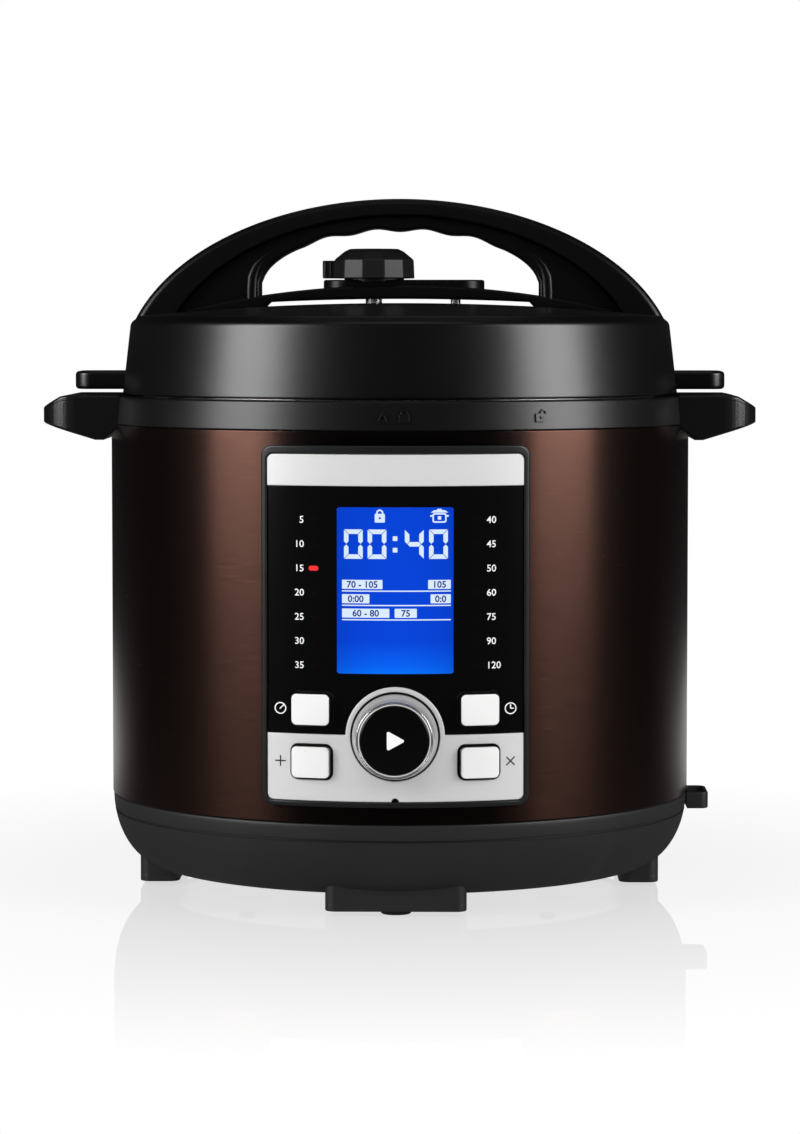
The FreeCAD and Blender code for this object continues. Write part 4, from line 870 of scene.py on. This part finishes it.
def makeTrim(look):
    x0, y0, z0, x1, y1, z1 = cad("lower_trim")
    top = fasciaBox[2] - 0.12
    reach = sqrt(look["bump"] ** 2 - (top - dialHeight) ** 2)
    lean = degrees(asin((top - dialHeight) / look["bump"]))
    corner = look["innerCorner"]
    foot = outline([(x0, top, 0), (x0, z0, corner), (0, z0, 0)], 8)[1:-1]
    notch = arc(look["notch"], 180, 0, 12, 0, z0)
    far = outline([(0, z0, 0), (x1, z0, corner), (x1, top, 0.3), (reach, top, 0)], 8)[1:-1]
    bump = arc(look["bump"], lean, 180 - lean, 48, 0, dialHeight)
    solid = foot + notch + far + bump + [Vector((x0, top))]
    holes = [keyHole(key, look["trimRadius"], look) for key in ("key_lower_left", "key_lower_right")]
    holes.append(circle(look["shaft"], 0, dialHeight, 64))
    high = look["trimRadius"] - bodyRadius
    return panelPlate([solid] + holes, high - look["plateDepth"], high, look["plateEdge"], x1)


def makeFascia(look):
    x0, y0, z0, x1, y1, z1 = fasciaBox
    z1 -= look["bandDrop"]
    bump = look["bump"] + 0.15
    lean = degrees(asin((z0 - dialHeight) / bump))
    solid = chain((x0, z0)) + arc(bump, 180 - lean, lean, 48, 0, dialHeight)
    solid += chain((x1, z0), (x1, z1), (x0, z1))
    left, front, foot, right, back, head = screenBox
    holes = [keyHole(key, look["fasciaRadius"], look) for key in ("key_upper_left", "key_upper_right")]
    holes.append(rectangle((left + right) / 2, (foot + head) / 2, right - left + 0.1, head - foot + 0.1, 1.3))
    return panelPlate([solid] + holes, 0.15, look["fasciaRadius"] - bodyRadius, 0.2, x1)


def makeTopBand(look):
    x0, y0, z0, x1, y1, z1 = cad("top_band")
    z0, z1 = z0 - look["bandDrop"], z1 - look["bandDrop"]
    corner = look["innerCorner"]
    solid = outline([(x0, z0, 0.3), (x1, z0, 0.3), (x1, z1, corner), (x0, z1, corner)], 8)
    return panelPlate([solid], 0.2, look["trimRadius"] - bodyRadius, look["plateEdge"], x1)


def makeScreen(look):
    x0, y0, z0, x1, y1, z1 = screenBox
    glass = rectangle((x0 + x1) / 2, (z0 + z1) / 2, x1 - x0, z1 - z0, look["screenCorner"])
    return panelPlate([glass], -look["screenDepth"], -y0 - bodyRadius, 0.15, x1)


piece("bezel_frame", makeBezel(panelLook), "cooker", "bezelPlastic", ["panel_bezel"])
piece("trim_plate", makeTrim(panelLook), "cooker", "silverTrim", ["lower_trim"])
piece("fascia_plate", makeFascia(panelLook), "cooker", "glossBlack", ["fascia"])
piece("band_plate", makeTopBand(panelLook), "cooker", "silverTrim", ["top_band"])
piece("screen_glass", makeScreen(panelLook), "cooker", "screenBlue", ["screen"])


def makeKey(node, look):
    turn, height = keyPlace(node)
    width, tall = look["keyWidth"], look["keyHeight"]

    def domed(u, v, w):
        sag = look["keyDome"] * ((2 * u / width) ** 2 + (2 * v / tall) ** 2) * max(0.0, w) / look["keyFront"]
        return Vector((u, -w + sag, v + height))

    key = plate([rectangle(0, 0, width, tall, look["keyCorner"], 10)], look["keyBack"], look["keyFront"],
                look["keyEdge"], domed, columns(width / 2, 1.5), 4)
    return spun(key, turn)


for keyNode, keyBody in keyBodies.items():
    keyTurn = radians(keyPlace(keyNode)[0])
    outward = Vector((sin(keyTurn), -cos(keyTurn), 0))
    piece(keyNode + "_cap", makeKey(keyNode, panelLook), keyBody, "keyPlastic", [keyNode],
          sides=("keySide", outward))
print("panel plates made")


# Dial and start cap.
capBox = cad("start_cap")
dialLook = {"taper": 2.2, "ridges": 120, "ridgeDepth": 0.2, "lip": 0.55, "grooveDepth": 0.9,
            "clearance": 0.3, "backStand": 2.3, "stepsPerRidge": 6}


def overDial(x, y, z):  # turns an upright axis towards the front, over the dial's middle
    return Vector((x, -z, dialHeight + y))


def makeDialRing(look):
    wide = dialBox[3]
    front, back = -dialBox[1], bodyRadius + look["backStand"]
    inner = capBox[3] + look["clearance"]
    nose = wide - look["taper"]
    profile = outline([(inner, back, 0), (wide, back, 0.4), (wide - 0.1, back + 1.2, 0),
                       (nose + 0.1, front - 0.9, 0), (nose, front, 0.5), (nose - look["lip"], front, 0.25),
                       (nose - look["lip"] - 0.2, front - look["grooveDepth"], 0.2),
                       (inner + 0.3, front - look["grooveDepth"], 0.1), (inner, front - 0.5, 0.15)], 5)
    low, high = back + 1.4, front - 1.2

    def knurled(radius, angle, height):
        share = max(0.0, min(1.0, (height - low) / 1.5, (high - height) / 1.5))
        outer = radius > inner + 0.8 and low < height < high
        ridge = abs(sin(angle * look["ridges"] / 2)) * look["ridgeDepth"] if outer else 0.0
        reach = radius - ridge * share
        return (reach * cos(angle), reach * sin(angle), height)

    side = []
    for spot, follow in zip(profile, profile[1:] + profile[:1]):
        side.append(spot)
        if spot.x > inner + 0.8 and abs(follow.y - spot.y) > 3:
            side += [spot.lerp(follow, step / 10) for step in range(1, 10)]
    return lathe(side, look["ridges"] * look["stepsPerRidge"], closed=True, place=overDial, shape=knurled)


piece("dial_rim", makeDialRing(dialLook), "dial", "chrome", ["dial_ring"], 40)
lipLook = {"radius": 16.1, "thick": 0.3, "front": -dialBox[1] - 0.3, "segments": 256}


def makeDialLip(look):
    section = circle(look["thick"], look["radius"], look["front"], 12)
    return lathe(section, look["segments"], closed=True, place=overDial)


piece("dial_lip", makeDialLip(lipLook), "dial", "silverTrim")
capLook = {"gap": 0.1, "depth": 4.5, "edge": 0.6, "slope": 0.35, "backEdge": 0.2, "segments": 128}


def makeCap(look):
    radius, front = capBox[3] - look["gap"], -capBox[1]
    back = front - look["depth"]
    profile = outline([(0, back, 0), (radius, back, look["backEdge"]),
                       (radius, front - look["slope"], look["edge"]), (0, front, 0)], 6)
    return lathe(profile, look["segments"], place=overDial)


piece("start_disc", makeCap(capLook), "start_button", "capBlack", ["start_cap"])


markLook = {"corners": [(-3.4, -4.6, 0.7), (5.0, 0, 0.7), (-3.4, 4.6, 0.7)], "thick": 0.3,
            "front": -capBox[1] + 0.03}


def makeStartMark(look):
    return plate([outline(look["corners"], 6)], look["front"] - look["thick"], look["front"], 0.0, overDial)


piece("start_mark", makeStartMark(markLook), "start_button", "whitePrint")
print("dial made")


# Screen graphics and printed marks.
def digit(lit, x, z, look):  # a seven-bar numeral with its lower left corner at x, z
    wide, tall, stroke = look["digitWidth"], look["digitHeight"], look["stroke"]
    gap, half, middle = stroke * 0.09, stroke / 2, tall / 2
    low, high, inner = middle - half - gap, middle + half + gap, wide - stroke
    bars = {
        "a": [(gap, tall), (wide - gap, tall), (inner - gap, tall - stroke), (stroke + gap, tall - stroke)],
        "b": [(wide, tall - gap), (wide, high), (wide - half, middle + gap), (inner, high),
              (inner, tall - stroke - gap)],
        "c": [(wide, gap), (inner, stroke + gap), (inner, low), (wide - half, middle - gap), (wide, low)],
        "d": [(gap, 0), (stroke + gap, stroke), (inner - gap, stroke), (wide - gap, 0)],
        "e": [(0, gap), (0, low), (half, middle - gap), (stroke, low), (stroke, stroke + gap)],
        "f": [(0, tall - gap), (stroke, tall - stroke - gap), (stroke, high), (half, middle + gap),
              (0, high)],
        "g": [(half + gap, middle), (stroke + gap, middle + half), (inner - gap, middle + half),
              (wide - half - gap, middle), (inner - gap, middle - half), (stroke + gap, middle - half)],
    }
    return [[Vector((x + u, z + v)) for u, v in bars[bar]] for bar in lit]


def marks(outlineSets, radius, height=0.06):
    shapes = []
    for outlines in outlineSets:
        left, right = min(spot[0] for spot in outlines[0]), max(spot[0] for spot in outlines[0])
        cuts = [cut for cut in columns(60, 1.0) if left < cut < right]
        shapes.append(plate(outlines, 0.02, height, 0.0, onPanel(radius), cuts))
    return shapes


def lockMark(x, z, size, shift=0.0):  # a padlock; a shift of its shackle opens it
    body = rectangle(x, z, size, size * 0.86, size * 0.1, 4)
    keyhole = circle(size * 0.11, x, z, 16)
    outer, inner, top, foot = size * 0.36, size * 0.2, z + size * 0.5, z + size * 0.38
    bow = chain((x - outer, foot)) + arc(outer, 180, 0, 14, x, top)
    bow += chain((x + outer, foot), (x + inner, foot)) + arc(inner, 0, 180, 14, x, top)
    bow += chain((x - inner, foot))
    return [[body, keyhole], [[spot + Vector((shift * size, 0)) for spot in bow]]]


graphicLook = {"digitHeight": 13.3, "digitWidth": 8.5, "stroke": 2.05, "digitFoot": 165.0,
               "digitStarts": (-23.1, -12.4, 4.4, 15.3), "bars": ("abcdef", "abcdef", "bcfg", "abcdef"),
               "colon": 0.0, "colonRises": (4.0, 9.2), "dot": 2.1,
               "rowTops": (155.5, 149.0, 142.5), "tagHeight": 4.1, "textSize": 4.2,
               "tagSpans": (((-24.0, -5.7), (14.9, 25.1)), ((-24.0, -11.6), (16.0, 25.1)),
                            ((-24.0, -2.6), (-0.2, 9.8))),
               "tagTexts": (("70 - 105", "105"), ("0:00", "0:0"), ("60 - 80", "75")),
               "linePlace": 0.55, "lineLength": 49.2, "lineThick": 0.55, "lineDrop": 0.95,
               "lock": (-6.9, 183.4, 4.6),
               "potWall": ((20.0, 183.5, 6.4, 4.4, 1.0, 5), (20.0, 183.5, 5.0, 3.0, 0.5, 5)),
               "potParts": ((20.0, 183.5, 1.6, 1.6, 0.3, 3), (20.0, 187.2, 2.2, 0.8, 0.3, 3),
                            (16.3, 184.4, 1.0, 0.8, 0.2, 3), (23.7, 184.4, 1.0, 0.8, 0.2, 3)),
               "potLid": ((16.0, 185.9, 0), (24.0, 185.9, 0), (22.4, 187.0, 0.4), (17.6, 187.0, 0.4))}


def makeGraphics(look):
    sets = []
    for start, lit in zip(look["digitStarts"], look["bars"]):
        sets += [[bar] for bar in digit(lit, start, look["digitFoot"], look)]
    tall, dot = look["tagHeight"], look["dot"]
    sets += [[rectangle(look["colon"], look["digitFoot"] + rise, dot, dot, 0.2, 3)]
             for rise in look["colonRises"]]
    for top, spans in zip(look["rowTops"], look["tagSpans"]):
        for left, right in spans:
            sets.append([rectangle((left + right) / 2, top - tall / 2, right - left, tall, 0.2, 3)])
        sets.append([rectangle(look["linePlace"], top - tall - look["lineDrop"], look["lineLength"],
                               look["lineThick"], 0.1, 2)])
    sets += lockMark(*look["lock"])
    sets.append([rectangle(*wall) for wall in look["potWall"]])
    sets += [[rectangle(*part)] for part in look["potParts"]]
    sets.append([outline(look["potLid"], 3)])
    return joined(marks(sets, -screenBox[1]))


piece("screen_marks", makeGraphics(graphicLook), "cooker", "litDigits")

lampBox = cad("mode_lights")
lampCount = 7
lampStep = (lampBox[5] - lampBox[2] - 2) / (lampCount - 1)
lampHeights = [lampBox[5] - 1 - lampStep * row for row in range(lampCount)]
modeLook = {"place": 37.0, "width": 4.4, "height": 2.2, "corner": 0.9, "litRow": 2, "unlitStand": 0.05,
            "litStand": 0.09, "labelPlace": 41.3, "labelSize": 4.4,
            "texts": (("5", "10", "15", "20", "25", "30", "35"), ("40", "45", "50", "60", "75", "90", "120"))}


def makeWindows(look, wanted):
    windows = []
    for side in (-1, 1):
        for row, height in enumerate(lampHeights):
            lit = side < 0 and row == look["litRow"]
            if lit == wanted:
                windows.append([rectangle(side * look["place"], height, look["width"], look["height"],
                                          look["corner"], 5)])
    stand = look["litStand"] if wanted else look["unlitStand"]
    return joined(marks(windows, panelLook["fasciaRadius"], stand))


piece("mode_windows", makeWindows(modeLook, False), "cooker", "unlitWindow", ["mode_lights"])
piece("mode_window_lit", makeWindows(modeLook, True), "cooker", "litLamp")


def number(text, x, middle, size, radius, align, weight=0.008):  # plain numerals, laid on the panel
    z = middle - size * 0.34  # the foot of numerals that are centred on their middle
    curve = bpy.data.curves.new("numerals", "FONT")
    curve.body = text
    curve.size = size
    curve.align_x = align
    curve.extrude = 0.02
    curve.offset = weight * size
    curve.resolution_u = 3
    place = onPanel(radius)
    return fromCurve(curve, 0.05, lambda u, v, w: place(u + x, v + z, w), columns(14, 1.0))


def makeTagTexts(look):
    shapes = []
    for top, spans, texts in zip(look["rowTops"], look["tagSpans"], look["tagTexts"]):
        for (left, right), text in zip(spans, texts):
            shapes.append(number(text, (left + right) / 2, top - look["tagHeight"] / 2, look["textSize"],
                                 -screenBox[1] + 0.03, "CENTER", 0.022))
    return joined(shapes)


piece("tag_numbers", makeTagTexts(graphicLook), "cooker", "bluePrint")


def makeNumbers(look):
    shapes = []
    for side, texts in zip((-1, 1), look["texts"]):
        for height, text in zip(lampHeights, texts):
            align = "RIGHT" if side < 0 else "LEFT"
            shapes.append(number(text, side * look["labelPlace"], height, look["labelSize"],
                                 panelLook["fasciaRadius"], align))
    return joined(shapes)


piece("mode_numbers", makeNumbers(modeLook), "cooker", "whitePrint")


upperZ = keyPlace("key_upper_left")[1]
lowerZ = keyPlace("key_lower_left")[1]
signLook = {"place": 52.3, "ringRadius": 2.7, "stroke": 0.5,
            "upperBars": ((-51.7, 0.6, 2.6, 0.5, 45), (52.3, 0.9, 1.8, 0.5, 90), (53.0, 0, 1.4, 0.5, 0)),
            "lowerBars": ((-52.3, 0, 5.0, 0.6, 0), (-52.3, 0, 5.0, 0.6, 90),
                          (52.3, 0, 5.4, 0.6, 45), (52.3, 0, 5.4, 0.6, -45))}


def ringMark(x, z, radius, thick):
    return [circle(radius, x, z, 28), circle(radius - thick, x, z, 28)]


def barMark(x, z, length, thick, angle):
    turn = Matrix.Rotation(radians(angle), 2)
    return [[turn @ spot + Vector((x, z)) for spot in rectangle(0, 0, length, thick, 0)]]


def makeSigns(bars, height, radius, rings=()):  # beside the keys at one height
    sets = [barMark(x, height + rise, *sizes) for x, rise, *sizes in bars]
    return joined(marks(list(rings) + sets, radius))


signRings = [ringMark(side * signLook["place"], upperZ, signLook["ringRadius"], signLook["stroke"])
             for side in (-1, 1)]
upperSigns = makeSigns(signLook["upperBars"], upperZ, panelLook["fasciaRadius"], signRings)
lowerSigns = makeSigns(signLook["lowerBars"], lowerZ, panelLook["trimRadius"])
piece("upper_signs", upperSigns, "cooker", "whitePrint")
piece("lower_signs", lowerSigns, "cooker", "darkPrint")

collarMarkLook = {"height": 229.0, "size": 4.6, "openTurn": 28.0, "stand": 0.8, "depth": 0.2, "edge": 0.1,
                  "arrow": (((-8.0, -2.3, 0.2), (-3.4, -2.3, 0.2), (-5.7, 2.5, 0.2)),
                            ((-6.9, -1.6, 0.2), (-4.5, -1.6, 0.2), (-5.7, 1.0, 0.2))),
                  "lockPlace": 4.0, "lockDrop": 0.8, "openShift": 0.4}


def onCollar(u, v, w):  # follows the collar's slight cone
    share = (v - collarLook["bottom"]) / (collarLook["top"] - collarLook["bottom"])
    foot = bodyRadius - collarLook["footInset"]
    radius = foot + (collarLook["topRadius"] - foot) * share + w
    return Vector((u, -sqrt(radius ** 2 - u * u), v))


def makeCollarMarks(look):
    middle, height = look["height"], look["height"] - look["lockDrop"]
    arrow = [outline([(x, middle + rise, rounding) for x, rise, rounding in corners], 3)
             for corners in look["arrow"]]
    shut = lockMark(look["lockPlace"], height, look["size"])
    opened = lockMark(0.0, height, look["size"], look["openShift"])
    shapes = []
    for turn, sets in ((0, [arrow] + shut), (look["openTurn"], opened)):
        for outlines in sets:
            shapes.append(spun(plate(outlines, -look["depth"], look["stand"], look["edge"], onCollar), turn))
    return joined(shapes)


piece("collar_marks", makeCollarMarks(collarMarkLook), "cooker", "collarPlastic")
print("marks made")


# Condensate cup.
cupLook = {"wall": 1.6, "corner": 3.0, "innerCorner": 2.04, "edge": 0.8, "rimEdge": 0.5, "floor": 2.0}


def makeCup(look):
    x0, y0, z0, x1, y1, z1 = cad("condensate_cup")
    wall = look["wall"]
    middle = (y0 + y1) / 2
    outer = rectangle(0, middle, x1 - x0, y1 - y0, look["corner"], 8)
    inner = rectangle(0, middle, x1 - x0 - 2 * wall, y1 - y0 - 2 * wall, look["innerCorner"], 8)
    walls = plate([outer, inner], z0 + 0.6, z1, look["rimEdge"])
    floor = plate([outer], z0, z0 + look["floor"], look["edge"])
    return joined([walls, floor])


piece("drip_cup", makeCup(cupLook), "cup", "basePlastic", ["condensate_cup"])


# CAD nodes that stay get the finish of their material slot.
slotFinish = {"black_plastic": "darkPlastic", "handle_black": "handlePlastic", "bronze_shell": "bronzeSteel",
              "steel": "steel", "aluminium": "aluminium", "rubber": "footRubber", "silicone": "sealSilicone",
              "bezel_dark": "bezelPlastic", "gloss_black": "glossBlack", "silver_trim": "silverTrim",
              "key_silver": "keyPlastic", "chrome": "chrome", "screen_blue": "screenBlue",
              "board_green": "boardGreen", "parts_dark": "darkPlastic", "light_red": "unlitWindow",
              "contact_metal": "contactMetal"}
nodeFinish = {"steam_pipe": "paleSteel", "float_pin": "paleSteel"}
for nodeName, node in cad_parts.items():
    for materialSlot in node.material_slots:
        name = materialSlot.material.name.split(".")[0]
        materialSlot.material = finishes[nodeFinish.get(nodeName, slotFinish[name])]
print("CAD nodes finished")


# Floor, backdrop, lights and camera.
floorLook = {"size": 6.0, "reflect": 0.25, "reflectReach": (0.13, 0.46), "shadow": 0.15,
             "shadowReach": (0.16, 0.42), "shineReach": (0.35, 0.9), "black": 0.01, "dim": 0.06,
             "plain": 0.8, "rearShine": 0.5, "rearBack": (-0.45, -0.2), "rearSide": (0.4, 0.8),
             "rearReach": (0.9, 1.5)}


def grey(value):
    return (value, value, value, 1)


def makeFloor(look):
    mesh = bpy.data.meshes.new("floor")
    half = look["size"] / 2
    corners = [(-half, -half, 0), (half, -half, 0), (half, half, 0), (-half, half, 0)]
    mesh.from_pydata(corners, [], [(0, 1, 2, 3)])
    floor = bpy.data.objects.new("floor", mesh)
    scene.collection.objects.link(floor)
    start, spot = newFinish("paleFloor")
    camera, shine = start.ray("Camera"), start.ray("Glossy")
    white, dark, dim = [start.node("Emission", None, {"Color": grey(value), "Strength": 1.0})
                        for value in (1, look["black"], look["dim"])]
    plain = start.node("BsdfDiffuse", None, {"Color": grey(look["plain"])})
    polish = start.node("BsdfGlossy", None, {"Color": grey(1), "Roughness": 0.0})
    reach = (spot.axis(0) * spot.axis(0) + spot.axis(1) * spot.axis(1)).maths("SQRT")
    close, front = fall(reach, *look["shineReach"]), fall(reach, *look["reflectReach"])
    rear = fall(-1 * spot.axis(1), *look["rearBack"])
    rear = rear * fall(spot.axis(0).maths("ABSOLUTE"), *look["rearSide"])
    rear = rear * fall(reach, *look["rearReach"]) * look["rearShine"]  # lights the back, not the front
    shaded = fall(reach, *look["shadowReach"])
    lit = shine.between(white, rear.between(close.between(dark, dim), white))
    mirrored = (front * look["reflect"] * camera).between(lit, polish)
    whole = (shaded * look["shadow"] * camera).between(mirrored, plain)
    start.node("OutputMaterial", None, {"Surface": whole})
    mesh.materials.append(finishes["paleFloor"])


makeFloor(floorLook)
worldLook = {"backdropInMetal": 0.03, "behindFrom": 0.97, "behindSlope": 30.0, "ambient": 0.01}


def makeWorld(look):
    world = bpy.data.worlds.new("studio")
    scene.world = world
    world.use_nodes = True
    world.node_tree.nodes.clear()
    start = Signal(world.node_tree)
    camera, clear, shine = [start.ray(kind) for kind in ("Camera", "Transmission", "Glossy")]
    mirrored = start.ray("Singular")  # only the floor mirrors this sharply
    depth = start.node("TexCoord", output="Generated").axis(1)
    behind = ((depth - look["behindFrom"]) * look["behindSlope"]).clamped()
    seen = (camera + clear + shine * (mirrored + behind * look["backdropInMetal"])).clamped()
    strength = look["ambient"] + seen * (1 - look["ambient"])
    light = start.node("Background", None, {"Color": grey(1), "Strength": strength})
    start.node("OutputWorld", None, {"Surface": light})


makeWorld(worldLook)


lampUsual = {"aim": (0.0, 0.0, 0.16), "glossy": True}
strip = {"reach": 1.35, "height": 0.62, "wide": 0.68, "tall": 0.8, "radiance": 8.2}


def lamp(name, ownLook):  # placed round the object at a turn from the front, in degrees
    look = {**lampUsual, **ownLook}
    data = bpy.data.lights.new(name, "AREA")
    data.shape = "RECTANGLE"
    data.size, data.size_y = look["wide"], look["tall"]
    data.energy = look["radiance"] * pi * look["wide"] * look["tall"]
    holder = bpy.data.objects.new(name, data)
    scene.collection.objects.link(holder)
    turn = radians(look["turn"])
    holder.location = (look["reach"] * sin(turn), -look["reach"] * cos(turn), look["height"])
    holder.rotation_euler = (Vector(look["aim"]) - holder.location).to_track_quat("-Z", "Y").to_euler()
    holder.visible_glossy = look["glossy"]


lamps = {
    "leftStrip": {**strip, "turn": -61.0},
    "rightStrip": {**strip, "turn": 65.0},
    "frontSoft": {"turn": -8.0, "reach": 1.7, "height": 1.3, "wide": 1.4, "tall": 1.0, "radiance": 2.3,
                  "glossy": False},
    "topSoft": {"turn": 0.0, "reach": 0.6, "height": 1.8, "wide": 1.2, "tall": 0.8, "radiance": 0.4},
    "backSoft": {"turn": 180.0, "reach": 0.8, "height": 1.7, "wide": 1.0, "tall": 0.5, "radiance": 0.4},
}
for lampName, lampLook in lamps.items():
    lamp(lampName, lampLook)

cameraLook = {"place": (0.029, -1.848, 0.275), "aim": (0.0, 0.0, 0.152), "lens": 120.5}
camera = bpy.data.objects.new("camera", bpy.data.cameras.new("camera"))
scene.collection.objects.link(camera)
camera.data.lens = cameraLook["lens"]
camera.location = cameraLook["place"]
view = Vector(cameraLook["aim"]) - Vector(cameraLook["place"])
camera.rotation_euler = view.to_track_quat("-Z", "Y").to_euler()
scene.camera = camera
scene.view_settings.view_transform = "Standard"
print("stage made")

bpy.context.view_layer.update()
